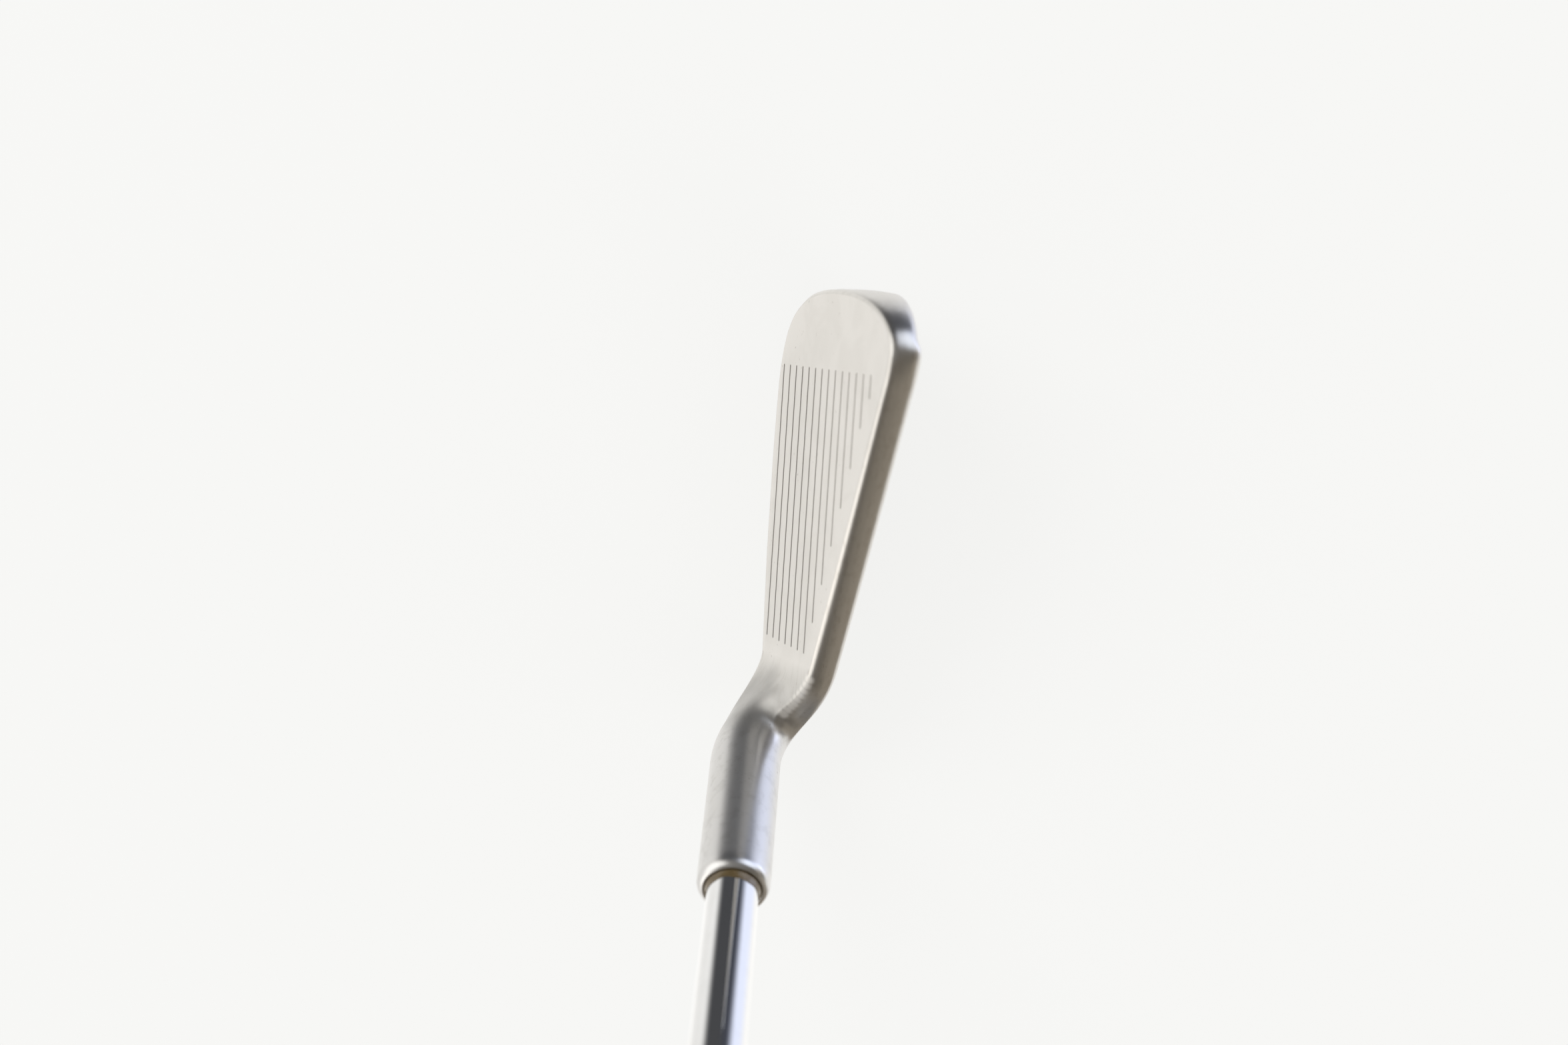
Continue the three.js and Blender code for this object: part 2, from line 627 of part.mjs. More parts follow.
// everything on the shaft axis hangs in one turned group
const axis = new THREE.Group();
axis.position.set(AXIS_X, AXIS_Y, 0);
axis.rotation.y = Math.PI / 2 - LIE;
club.add(axis);

addPiece(axis, 'shaft', shaft());
addPiece(axis, 'hosel_epoxy', hoselEpoxy());
addPiece(axis, 'tip_weight', tipWeight());
addPiece(axis, 'tip_cork', tipCork());
addPiece(axis, 'shaft_band', shaftBand());
addPiece(axis, 'grip_tape', gripTape());
addPiece(axis, 'grip_sleeve', gripSleeve());
addPiece(axis, 'grip_cap', gripCap());

export default club;
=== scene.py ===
"""Iron golf club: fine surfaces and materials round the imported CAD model.

Lengths below are millimetres in the row frame and are turned into metres where meshes are made.
The head is rebuilt from the same outlines and walls as the CAD, at a finer pitch.
"""
import math

import bmesh
import bpy
import numpy as np
from mathutils import Matrix, Vector, geometry, noise


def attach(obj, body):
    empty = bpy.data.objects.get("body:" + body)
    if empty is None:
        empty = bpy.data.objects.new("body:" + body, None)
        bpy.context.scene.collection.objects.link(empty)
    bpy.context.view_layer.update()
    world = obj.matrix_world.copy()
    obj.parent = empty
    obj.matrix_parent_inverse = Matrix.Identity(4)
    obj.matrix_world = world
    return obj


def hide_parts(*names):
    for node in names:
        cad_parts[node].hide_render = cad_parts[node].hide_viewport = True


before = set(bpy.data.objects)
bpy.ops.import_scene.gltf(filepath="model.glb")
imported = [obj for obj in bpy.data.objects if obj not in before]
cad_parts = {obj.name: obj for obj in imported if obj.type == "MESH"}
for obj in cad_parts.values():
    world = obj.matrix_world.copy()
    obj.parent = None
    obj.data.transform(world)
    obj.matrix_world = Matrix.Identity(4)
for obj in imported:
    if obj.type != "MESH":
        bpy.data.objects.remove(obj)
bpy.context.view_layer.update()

# ---------------------------------------------------------------- driving dimensions, as in the CAD
LOFT = math.radians(21)
LIE = math.radians(60)
CLUB_LENGTH = 990.6
AXIS_X, AXIS_Y = 37.5, -9.2
FACE_Y, FACE_Z = -7.0, 6.2
SCORE_PITCH = 3.43
SCORE_TOE_X = -26.1
SCORE_HEEL_X = [26.2, 26.3, 26.4, 26.5, 26.5, 26.6, 26.7, 20.5, 13.0, 5.6, -1.6, -9.0, -16.4, -21.8]
SCORE_WIDTH = 0.56
SCORE_DEPTH = 0.4
TOPLINE_TOE, TOPLINE_HEEL = 5.9, 5.47
TOE_CORNER_DROP, TOE_WALL_GROWTH = 0.8, 0.245
TOE_START_X, TOE_START_UP = -30.5, 52.7
FACE_THICK = 3.0
BEVEL = 0.85
HEEL_X = 29.4
TOE_BEND_X = -22.0
TOE_TIP = (-40.6, 23.5)
TRAILING_TOE_Y, TRAILING_HEEL_Y = 10.3, 6.6
HOSEL_R, HOSEL_MOUTH, BARREL_START = 6.6, 57.3, 23.6
BORE_R, BORE_DEPTH = 4.92, 29.5
NECK_TURN = (-86.8, -67.4, -68.2, -46.3, -33.7, -30.7, -35.1, -40.6)
PULL_BLADE = (28.6, 35.8, 37.7, 31.8, 24.2, 17.6, 14.8, 21.1)
PULL_BARREL = (38.1, 38.0, 39.3, 41.6, 42.9, 43.3, 42.5, 39.2)
NECK_FACE_DROP, NECK_SHIFT = 0.24, 6
SHAFT_MOUTH_R, SHAFT_TAPER, SHAFT_TIP_MAX_R, SHAFT_BUTT_R = 4.63, 0.00375, 5.02, 7.62
SHAFT_STEPS, STEP_PITCH, FIRST_STEP, SHAFT_END = 12, 38.1, 298.5, 981.0
BOND_GAP = 0.06
GRIP_START, GRIP_END, GRIP_MOUTH_R, GRIP_BUTT_R, CAP_R = 728.6, 985.5, 9.2, 12.4, 13.6

TOP_OUTLINE = [
    (29.5, 24.9), (21.6, 28.9), (15.0, 32.2), (8.7, 35.3), (2.3, 38.4), (-3.9, 41.4), (-10.0, 44.3),
    (-16.1, 47.2), (-22.0, 50.0), (-26.9, 52.3), (-30.3, 53.1), (-33.5, 51.9), (-36.3, 48.3),
    (-38.8, 41.5), (-40.2, 33.0), TOE_TIP,
]
LOW_OUTLINE = [
    (29.5, -2.0), (24.0, -2.35), (16.0, -2.8), (9.0, -3.1), (0.0, -3.1), (-9.0, -3.1), (-16.0, -2.8),
    (-22.0, -2.4), (-26.0, -1.8), (-29.2, -0.9), (-32.4, 0.6), (-35.6, 3.6), (-38.9, 10.2),
    (-40.2, 16.6), TOE_TIP,
]
SOLE_YZ = [
    (-7.97, 3.68), (-8.1, 2.96), (-7.51, 1.55), (-6.5, 1.0), (-2.2, 0.0),
    (2.2, 0.0), (6.0, 0.45), (8.2, 1.6), (9.2, 3.4),
]
SOLE_OUTLINE_UP = -3.1
WALL_STEP = 4          # samples for each of the eight spans of a wall
BACK_POINTS, FACE_POINTS = 44, 34
AXIS_DIR = np.array([math.cos(LIE), 0, math.sin(LIE)])
CROTCH_DIR = np.array([-math.sin(LIE), 0, math.cos(LIE)])


def smooth(v):
    c = min(1.0, max(0.0, v))
    return c * c * (3 - 2 * c)


def mix(a, b, w):
    return a + (b - a) * w


def on_face(x, up, depth):
    return (
        x,
        FACE_Y + up * math.sin(LOFT) + depth * math.cos(LOFT),
        FACE_Z + up * math.cos(LOFT) - depth * math.sin(LOFT),
    )


def to_face(y, z):
    dy, dz = y - FACE_Y, z - FACE_Z
    return dy * math.sin(LOFT) + dz * math.cos(LOFT), dy * math.cos(LOFT) - dz * math.sin(LOFT)


def catmull(points, first, last, per_span):
    """Centripetal curve through the points, with the end tangents set by the extra points first and last."""
    p = np.array([first, *points, last], float)
    out = []
    for i in range(1, len(p) - 2):
        p0, p1, p2, p3 = p[i - 1:i + 3]
        t0 = 0.0
        t1 = t0 + max(np.linalg.norm(p1 - p0), 1e-6) ** 0.5
        t2 = t1 + max(np.linalg.norm(p2 - p1), 1e-6) ** 0.5
        t3 = t2 + max(np.linalg.norm(p3 - p2), 1e-6) ** 0.5
        t = np.linspace(t1, t2, per_span, endpoint=False)[:, None]
        a1 = (t1 - t) / (t1 - t0) * p0 + (t - t0) / (t1 - t0) * p1
        a2 = (t2 - t) / (t2 - t1) * p1 + (t - t1) / (t2 - t1) * p2
        a3 = (t3 - t) / (t3 - t2) * p2 + (t - t2) / (t3 - t2) * p3
        b1 = (t2 - t) / (t2 - t0) * a1 + (t - t0) / (t2 - t0) * a2
        b2 = (t3 - t) / (t3 - t1) * a2 + (t - t1) / (t3 - t1) * a3
        out.append((t2 - t) / (t2 - t1) * b1 + (t - t1) / (t2 - t1) * b2)
    out.append(p[-2][None])
    return np.vstack(out)


class Outline:
    def __init__(self, points):
        p = np.array(points, float)
        self.p = catmull(points, 2 * p[0] - p[1], 2 * p[-1] - p[-2], 60)
        d = np.linalg.norm(np.diff(self.p, axis=0), axis=1)
        self.s = np.concatenate([[0], np.cumsum(d)])
        self.s /= self.s[-1]
        t = np.gradient(self.p, self.s, axis=0)
        self.t = t / np.linalg.norm(t, axis=1)[:, None]

    def at(self, u):
        return float(np.interp(u, self.s, self.p[:, 0])), float(np.interp(u, self.s, self.p[:, 1]))

    def tangent(self, u):
        v = np.array([np.interp(u, self.s, self.t[:, 0]), np.interp(u, self.s, self.t[:, 1])])
        v /= np.linalg.norm(v)
        return float(v[0]), float(v[1])

    def parameter(self, x):
        return float(np.interp(-x, -self.p[:, 0], self.s))


top_curve, low_curve = Outline(TOP_OUTLINE), Outline(LOW_OUTLINE)


def top_wall(depth, soft=0.0):
    m = lambda w: mix(BEVEL, depth, w)
    return [
        (0, -BEVEL - 0.1 * soft), (0.28 + 0.22 * soft, -0.34 - 0.08 * soft), (BEVEL + 0.6 * soft, 0), (m(0.28) + 0.35 * soft, 0.22), (m(0.52), 0.28),
        (m(0.76), 0.18), (depth - 0.55, -0.12), (depth - 0.08, -0.55), (depth + 0.25, -1.3),
    ]


SOLE_DEPTH = to_face(9.2, 3.4)[1]


def sole_wall(depth):
    out = []
    for k, (y, z) in enumerate(SOLE_YZ):
        up, d = to_face(y, z)
        share = 0 if k < 6 else (k - 5) / 3
        out.append((0 if k == 0 else d + (depth - SOLE_DEPTH) * share, SOLE_OUTLINE_UP - up))
    return out


def trailing_depth(x):
    return to_face(mix(TRAILING_TOE_Y, TRAILING_HEEL_Y, min(1, max(0, (x + 34) / 63))), 3.4)[1]


def upper_depth(x, up):
    if x > TOE_START_X:
        return mix(TOPLINE_HEEL, TOPLINE_TOE, min(1, max(0, (HEEL_X - x) / 55)))
    return TOPLINE_TOE - TOE_CORNER_DROP * smooth((TOE_START_X - x) / 3) + max(0, TOE_START_UP - up) * TOE_WALL_GROWTH


TOE_DEPTH = upper_depth(*TOE_TIP)
BACK_SLOPE = 0.2


def wall(curve, t, upper):
    """The wall at one place of the outline, as rows of x, height up the face and depth."""
    x, up = curve.at(t)
    tx, tu = curve.tangent(min(t, 0.9999))
    if t > 0.9995:
        tx, tu = 0.0, (-1.0 if upper else 1.0)
    nx, nu = (tu, -tx) if upper else (-tu, tx)
    if upper:
        profile = top_wall(upper_depth(x, up), smooth((x + 26) / 56) if tu > -0.9 else 0.0)
    else:
        side, sole = top_wall(TOE_DEPTH), sole_wall(trailing_depth(x))
        toeward = smooth((TOE_BEND_X - x) / (TOE_BEND_X - TOE_TIP[0]))
        w = smooth((up - SOLE_OUTLINE_UP) / (TOE_TIP[1] - SOLE_OUTLINE_UP)) * 0.5 + toeward * 0.5
        profile = [(mix(a[0], b[0], w), mix(a[1], b[1], w)) for a, b in zip(sole, side)]
        profile[0] = (0, profile[0][1])
    last = profile[-1]
    tip_share = smooth((TOE_BEND_X - x) / 18.0)
    slope = BACK_SLOPE * (1 - tip_share) * (1 if upper else -1)
    fine = catmull(profile, (0, profile[0][1] - 0.7), (last[0] + slope * 1.1, last[1] - 1.1), WALL_STEP)
    fine[0, 0] = 0
    return np.stack([x + nx * fine[:, 1], up + nu * fine[:, 1], fine[:, 0]], 1)


WALL_N = WALL_STEP * 8 + 1


def rib(t_top, t_low):
    top, low = wall(top_curve, t_top, True), wall(low_curve, t_low, False)
    ring = [on_face(*p) for p in top]
    for j in range(1, BACK_POINTS + 1):
        ring.append(on_face(*mix(top[-1], low[-1], j / (BACK_POINTS + 1))))
    ring += [on_face(*p) for p in low[::-1]]
    for j in range(1, FACE_POINTS + 1):
        ring.append(on_face(*mix(low[0], top[0], j / (FACE_POINTS + 1))))
    out = np.array(ring)
    out[:, 2] = np.maximum(out[:, 2], 0.0)
    return out, top, low


# place of each fine ring point on the 32-point ring of the CAD, for the angle round the barrel
KAPPA = np.concatenate([
    np.arange(WALL_N) / WALL_STEP,
    8 + 9 * np.arange(1, BACK_POINTS + 1) / (BACK_POINTS + 1),
    17 + np.arange(WALL_N) / WALL_STEP,
    25 + 7 * np.arange(1, FACE_POINTS + 1) / (FACE_POINTS + 1),
])
RING_N = len(KAPPA)


def round_section(values, k):
    """Smooth closed curve through the values, at place k of the 32 round the section."""
    v, u = np.array(values, float), np.asarray(k, float) * len(values) / 32
    i = np.floor(u).astype(int)
    t, n = u - i, len(v)
    p0, p1, p2, p3 = v[(i - 1) % n], v[i % n], v[(i + 1) % n], v[(i + 2) % n]
    return 0.5 * (2 * p1 + (p2 - p0) * t + (2 * p0 - 5 * p1 + 4 * p2 - p3) * t ** 2 + (3 * p1 - p0 - 3 * p2 + p3) * t ** 3)


def hosel_ring(t, radius):
    ease = 1 - smooth((t - BARREL_START) / (46 - BARREL_START))
    even = 140.625 - (KAPPA + NECK_SHIFT) * 11.25
    angle = np.radians(even + (round_section(NECK_TURN, KAPPA) + NECK_SHIFT * 11.25) * ease)
    return (
        np.array([AXIS_X, AXIS_Y, 0]) + AXIS_DIR * t
        + np.outer(radius * np.cos(angle), [0, 1, 0]) + np.outer(radius * np.sin(angle), CROTCH_DIR)
    )


def neck_rings(start, inner, count):
    direction = start - inner
    direction /= np.linalg.norm(direction, axis=1)[:, None]
    drop = NECK_FACE_DROP * np.where(KAPPA > 25, np.sin(math.pi * (KAPPA - 25) / 7) ** 2, 0)
    direction = direction - drop[:, None] * np.array([0, math.sin(LOFT), math.cos(LOFT)])
    direction /= np.linalg.norm(direction, axis=1)[:, None]
    pull0, pull1 = round_section(PULL_BLADE, KAPPA), round_section(PULL_BARREL, KAPPA)
    end = hosel_ring(BARREL_START, HOSEL_R)
    for i in range(1, count + 1):
        w = i / count
        yield (
            (2 * w ** 3 - 3 * w ** 2 + 1) * start + (w ** 3 - 2 * w ** 2 + w) * direction * pull0[:, None]
            + (3 * w ** 2 - 2 * w ** 3) * end + (w ** 3 - w ** 2) * AXIS_DIR * pull1[:, None]
        )


# ---------------------------------------------------------------- mesh helpers
class Builder:
    """Collects points in millimetres, with one value for each named mask, and makes one closed mesh."""

    def __init__(self):
        self.points, self.faces, self.masks = [], [], []

    def add(self, points, mask=(0.0, 0.0)):
        start = len(self.points)
        self.points.extend([tuple(map(float, p)) for p in points])
        self.masks.extend([mask] * len(points))
        return list(range(start, start + len(points)))

    def grid(self, rows, closed=True):
        """rows: lists of vertex indices of equal length."""
        n = len(rows[0])
        for a, b in zip(rows[:-1], rows[1:]):
            for k in range(n if closed else n - 1):
                j = (k + 1) % n
                self.faces.append((a[k], a[j], b[j], b[k]))

    def mesh(self, name, merge=2e-4, sharp=32.0, mask_names=("face", "groove")):
        bm = bmesh.new()
        layers = [bm.verts.layers.float.new(n) for n in mask_names]
        verts = []
        for p, m in zip(self.points, self.masks):
            v = bm.verts.new((p[0] * 1e-3, p[1] * 1e-3, p[2] * 1e-3))
            for layer, value in zip(layers, m):
                v[layer] = value
            verts.append(v)
        for f in self.faces:
            vs = []
            for i in f:
                if verts[i] not in vs:
                    vs.append(verts[i])
            if len(vs) > 2:
                try:
                    bm.faces.new(vs)
                except ValueError:
                    pass
        bmesh.ops.remove_doubles(bm, verts=bm.verts, dist=merge * 1e-3)
        bmesh.ops.dissolve_degenerate(bm, edges=bm.edges, dist=1e-8)
        loose = [v for v in bm.verts if not v.link_faces]
        if loose:
            bmesh.ops.delete(bm, geom=loose, context="VERTS")
        bmesh.ops.recalc_face_normals(bm, faces=bm.faces)
        if bm.calc_volume(signed=True) < 0:
            bmesh.ops.reverse_faces(bm, faces=bm.faces)
        bad = [e for e in bm.edges if len(e.link_faces) != 2]
        open_edges = len(bad)
        for e in bad[:6]:
            print("WARN open edge", name, [tuple(round(c * 1000, 3) for c in v.co) for v in e.verts], len(e.link_faces))
        mesh = bpy.data.meshes.new(name)
        bm.to_mesh(mesh)
        bm.free()
        mesh.polygons.foreach_set("use_smooth", [True] * len(mesh.polygons))
        mesh.set_sharp_from_angle(angle=math.radians(sharp))
        mesh.update()
        obj = bpy.data.objects.new(name, mesh)
        bpy.context.scene.collection.objects.link(obj)
        print(f"MESH {name}: {len(mesh.vertices)} verts, {len(mesh.polygons)} faces, open edges {open_edges}")
        return obj


def inside(points, polygon):
    """Which points lie in a polygon, both in the plane."""
    x, y = points[:, 0], points[:, 1]
    hit = np.zeros(len(points), bool)
    px, py = polygon[:, 0], polygon[:, 1]
    j = len(polygon) - 1
    for i in range(len(polygon)):
        cross = ((py[i] > y) != (py[j] > y)) & (
            x < (px[j] - px[i]) * (y - py[i]) / (py[j] - py[i] + 1e-30) + px[i])
        hit ^= cross
        j = i
    return hit


def triangulate(loops, extra, keep):
    """Triangles over closed loops of plane points plus loose extra points; keep(centres) says which stay.
    Returns all the points and the triangles."""
    points, edges = [], []
    for loop in loops:
        start = len(points)
        points += [tuple(p) for p in loop]
        edges += [(start + i, start + (i + 1) % len(loop)) for i in range(len(loop))]
    points += [tuple(p) for p in extra]
    out = geometry.delaunay_2d_cdt([Vector(p) for p in points], edges, [], 1, 1e-7)
    verts, faces, origin = out[0], out[2], out[3]
    source = [o[0] if o else -1 for o in origin]
    if min(source) < 0:
        print("WARN triangulate: new points", [tuple(out[0][i]) for i, s in enumerate(source) if s < 0])
    xy = np.array([tuple(v) for v in verts])
    tri = np.array([f for f in faces if len(f) == 3])
    centres = xy[tri].mean(1)
    a, e, f = xy[tri[:, 0]], xy[tri[:, 1]] - xy[tri[:, 0]], xy[tri[:, 2]] - xy[tri[:, 0]]
    area = np.abs(e[:, 0] * f[:, 1] - e[:, 1] * f[:, 0]) / 2
    tri = tri[keep(centres) & (area > 1e-7)]
    return points, [[source[i] for i in f] for f in tri.tolist()]


def resample(polyline, spacing, closed=True):
    p = np.array(polyline, float)
    if closed:
        p = np.vstack([p, p[:1]])
    d = np.linalg.norm(np.diff(p, axis=0), axis=1)
    s = np.concatenate([[0], np.cumsum(d)])
    n = max(3, int(round(s[-1] / spacing)))
    u = np.linspace(0, s[-1], n, endpoint=not closed)
    return np.stack([np.interp(u, s, p[:, 0]), np.interp(u, s, p[:, 1])], 1)


def rounded_polygon(corners, spacing):
    """corners: (x, y, radius). A closed curve with arcs at the corners."""
    out = []
    n = len(corners)
    for i in range(n):
        a, b, c = (np.array(corners[(i + k) % n][:2], float) for k in (-1, 0, 1))
        r = corners[i][2]
        u, v = (a - b) / np.linalg.norm(a - b), (c - b) / np.linalg.norm(c - b)
        half = math.acos(max(-1, min(1, float(u @ v)))) / 2
        d = r / math.tan(half)
        p0, p1 = b + u * d, b + v * d
        m = u + v
        centre = b + m / np.linalg.norm(m) * (r / math.sin(half))
        a0 = math.atan2(*(p0 - centre)[::-1])
        a1 = math.atan2(*(p1 - centre)[::-1])
        while a1 - a0 > math.pi:
            a1 -= 2 * math.pi
        while a1 - a0 < -math.pi:
            a1 += 2 * math.pi
        k = max(6, int(abs(a1 - a0) * r / 0.4))
        for j in range(k + 1):
            t = a0 + (a1 - a0) * j / k
            out.append(centre + r * np.array([math.cos(t), math.sin(t)]))
    return resample(out, spacing)


# ---------------------------------------------------------------- club head
def build_head():
    b = Builder()
    ribs = []
    for x in np.linspace(HEEL_X, TOE_BEND_X, 60):
        ribs.append(rib(top_curve.parameter(x), low_curve.parameter(x)))
    t0, l0 = top_curve.parameter(TOE_BEND_X), low_curve.parameter(TOE_BEND_X)
    toe_count = 64
    for i in range(1, toe_count + 1):
        w = 1 - (1 - i / toe_count) ** 1.15
        if i == toe_count:
            ribs.append(rib(1.0, 1.0))
        else:
            ribs.append(rib(mix(t0, 1, w), mix(l0, 1, w)))

    # walls round the blade, from the heel rib to the toe line, where both walls meet
    first = ribs[0][0]
    heel_ids = b.add(first)
    top_rows, low_rows = [heel_ids[:WALL_N]], [heel_ids[WALL_N + BACK_POINTS:2 * WALL_N + BACK_POINTS][::-1]]
    for ring, _, _ in ribs[1:-1]:
        top_rows.append(b.add(ring[:WALL_N]))
        low_rows.append(b.add(ring[WALL_N + BACK_POINTS:2 * WALL_N + BACK_POINTS][::-1]))
    shared = b.add(ribs[-1][0][:WALL_N])
    top_rows.append(shared)
    low_rows.append(shared)
    b.grid(top_rows, closed=False)
    b.grid(low_rows, closed=False)

    # the face: a plane with the score lines left open, then their walls
    def loop_of(column, fill):
        """Vertex ids and plane points of a closed loop: along the top wall, back along the low wall, then the heel rib."""
        ids = [r[column] for r in top_rows] + [r[column] for r in low_rows[-2::-1]]
        return ids + fill

    def plane(ids):
        out = []
        for i in ids:
            x, y, z = b.points[i]
            up, _ = to_face(y, z)
            out.append((x, up))
        return np.array(out)

    face_ids = loop_of(0, heel_ids[2 * WALL_N + BACK_POINTS:])
    for i in face_ids:
        b.masks[i] = (1.0, 0.0)
    face_loop = plane(face_ids)

    slots = []
    arc = 7
    for i, heel in enumerate(SCORE_HEEL_X):
        up = i * SCORE_PITCH
        slots.append((SCORE_TOE_X, heel, up))

    def capsule(x0, x1, up, radius, end):
        pts = []
        for j in range(arc + 1):
            t = -math.pi / 2 + math.pi * j / arc
            pts.append((x1 + end * math.cos(t), up + radius * math.sin(t)))
        for j in range(arc + 1):
            t = math.pi / 2 + math.pi * j / arc
            pts.append((x0 + end * math.cos(t), up + radius * math.sin(t)))
        return pts

    half = SCORE_WIDTH / 2
    loops = [face_loop]
    for x0, x1, up in slots:
        loops.append(np.array(capsule(x0 + half, x1 - half, up, half, half)))

    def keep_face(c):
        ok = inside(c, face_loop)
        for loop in loops[1:]:
            ok &= ~inside(c, loop)
        return ok

    # a second loop just inside the edge keeps the rounding of the edge off the flat of the face
    ahead, behind = np.roll(face_loop, -1, 0), np.roll(face_loop, 1, 0)
    along = ahead - behind
    along /= np.linalg.norm(along, axis=1)[:, None]
    inner = np.stack([-along[:, 1], along[:, 0]], 1)
    if (inner * (face_loop.mean(0) - face_loop)).sum() < 0:
        inner = -inner
    inset = (face_loop + inner * 0.22)[::2]
    points, tris = triangulate([face_loop, inset] + loops[1:], [], keep_face)
    ids = list(face_ids) + b.add([on_face(x, u, 0) for x, u in points[len(face_ids):]], (1.0, 0.15))
    for i in ids[len(face_ids):len(face_ids) + len(inset)]:
        b.masks[i] = (1.0, 0.0)
    b.faces += [tuple(ids[i] for i in t) for t in tris]
    at = len(face_ids) + len(inset)
    for x0, x1, up in slots:
        n = 2 * (arc + 1)
        rows = [ids[at:at + n]]
        at += n
        for shrink, depth in ((0.03, 0.06), (0.13, 0.26), (0.24, 0.37), (0.31, SCORE_DEPTH)):
            s = shrink * half / 0.39
            ring = capsule(x0 + half, x1 - half, up, half - s, half - s * (1.0 if depth < 0.1 else 1.6))
            rows.append(b.add([on_face(x, u, depth) for x, u in ring], (1.0, 1.0)))
        b.grid(rows)
        b.faces.append(tuple(rows[-1]))

    # the back: a skin of even slope with the cavity sunk into it
    back_ids = loop_of(WALL_N - 1, heel_ids[WALL_N:WALL_N + BACK_POINTS][::-1])
    back_loop = plane(back_ids)
    top8 = np.array([r[1][-1] for r in ribs])
    low8 = np.array([r[2][-1] for r in ribs])

    def envelope(x, up):
        xx = min(HEEL_X, max(x, min(top8[:, 0]) + 1e-3))
        a_up = np.interp(-xx, -top8[:, 0], top8[:, 1])
        a_d = np.interp(-xx, -top8[:, 0], top8[:, 2])
        b_up = np.interp(-xx, -low8[:, 0], low8[:, 1])
        b_d = np.interp(-xx, -low8[:, 0], low8[:, 2])
        w = min(1, max(0, (a_up - up) / max(a_up - b_up, 1e-6)))
        return mix(a_d, b_d, w)

    cavity = rounded_polygon([
        (21.0, 23.4, 3.2), (-27.2, 46.6, 6.5), (-33.0, 37.0, 9.0), (-33.4, 19.0, 7.0), (-28.5, 11.6, 6.0), (21.0, 11.0, 5.8),
    ], 0.75)
    centre = cavity.mean(0)
    tangent = np.roll(cavity, -1, 0) - np.roll(cavity, 1, 0)
    tangent /= np.linalg.norm(tangent, axis=1)[:, None]
    inward = np.stack([-tangent[:, 1], tangent[:, 0]], 1)
    if ((centre - cavity) * inward).sum() < 0:
        inward = -inward
    # the run of the cavity wall is short at the rim and long where it meets the sole ledge
    run = 1.3 + 2.2 * np.clip(inward[:, 1], 0, 1) ** 2
    steps = [(-0.28, 0.0), (-0.12, 0.006), (0.0, 0.035), (0.1, 0.10), (0.28, 0.30), (0.5, 0.56), (0.72, 0.79),
             (0.92, 0.93), (1.15, 0.985), (1.42, 1.0)]
    back_loops = [back_loop]
    depth_of = [None] * len(back_loop)
    for s, sink in steps:
        line = cavity + inward * (s * run)[:, None]
        back_loops.append(line)
        for x, up in line:
            depth_of.append(mix(envelope(x, up), FACE_THICK, sink))
    extra = []
    outer, floor = back_loops[1], back_loops[-1]
    grid = np.array([(x, u) for x in np.arange(-38, 29, 2.4) for u in np.arange(0, 52, 2.4)])

    def far_from(points, loop, gap):
        d = np.sqrt(((points[:, None, :] - loop[None, :, :]) ** 2).sum(-1)).min(1)
        return d > gap

    rim = inside(grid, back_loop) & ~inside(grid, outer) & far_from(grid, back_loop, 1.1) & far_from(grid, outer, 1.1)
    for x, u in grid[rim]:
        extra.append((x, u))
        depth_of.append(envelope(x, u))
    flat = inside(grid, floor) & far_from(grid, floor, 1.2)
    for x, u in grid[flat]:
        extra.append((x, u))
        depth_of.append(FACE_THICK)
    points, tris = triangulate(back_loops, extra, lambda c: inside(c, back_loop))
    ids = list(back_ids) + b.add([
        on_face(x, u, depth_of[i + len(back_ids)]) for i, (x, u) in enumerate(points[len(back_ids):])
    ])
    b.faces += [tuple(ids[i] for i in t) for t in tris]

    # neck, barrel, rounded mouth and bore
    inner, _, _ = rib(top_curve.parameter(26.4), low_curve.parameter(26.4))
    count = 56
    tube = [first] + list(neck_rings(first, inner, count))
    near = BARREL_START + np.arange(1, 13) * 0.7
    tube += [hosel_ring(t, HOSEL_R) for t in list(near) + list(np.linspace(near[-1], HOSEL_MOUTH - 2.3, 12)[1:])]
    rows = [heel_ids] + [b.add(ring) for ring in tube[1:]]
    for k in range(1, 14):
        fade = max(0.0, 1 - k / 10)
        for i in range(2 * WALL_N + BACK_POINTS, RING_N):
            b.masks[rows[k][i]] = (fade, 0.0)
    lip = catmull([(2.3, HOSEL_R), (1.3, HOSEL_R - 0.1), (0.55, HOSEL_R - 0.46), (0.13, HOSEL_R - 0.93), (0.04, HOSEL_R - 1.3), (0.3, BORE_R + 0.02), (0.9, BORE_R)],
                  (3.6, HOSEL_R), (2.0, BORE_R), 4)
    for drop, radius in lip[1:]:
        rows.append(b.add(hosel_ring(HOSEL_MOUTH - drop, radius)))
    for t in (HOSEL_MOUTH - 8, HOSEL_MOUTH - 18, HOSEL_MOUTH - BORE_DEPTH + 0.3):
        rows.append(b.add(hosel_ring(t, BORE_R)))
    rows.append(b.add(hosel_ring(HOSEL_MOUTH - BORE_DEPTH, BORE_R - 0.3)))
    rows.append(b.add(hosel_ring(HOSEL_MOUTH - BORE_DEPTH - 1.3, 0.25)))
    b.grid(rows)
    b.faces.append(tuple(rows[-1]))
    return b.mesh("club_head_surface", sharp=34)


# ---------------------------------------------------------------- turned pieces
def axis_point(radius, angle, t):
    return (
        AXIS_X + AXIS_DIR[0] * t + CROTCH_DIR[0] * radius * math.sin(angle),
        AXIS_Y + radius * math.cos(angle),
        AXIS_DIR[2] * t + CROTCH_DIR[2] * radius * math.sin(angle),
    )


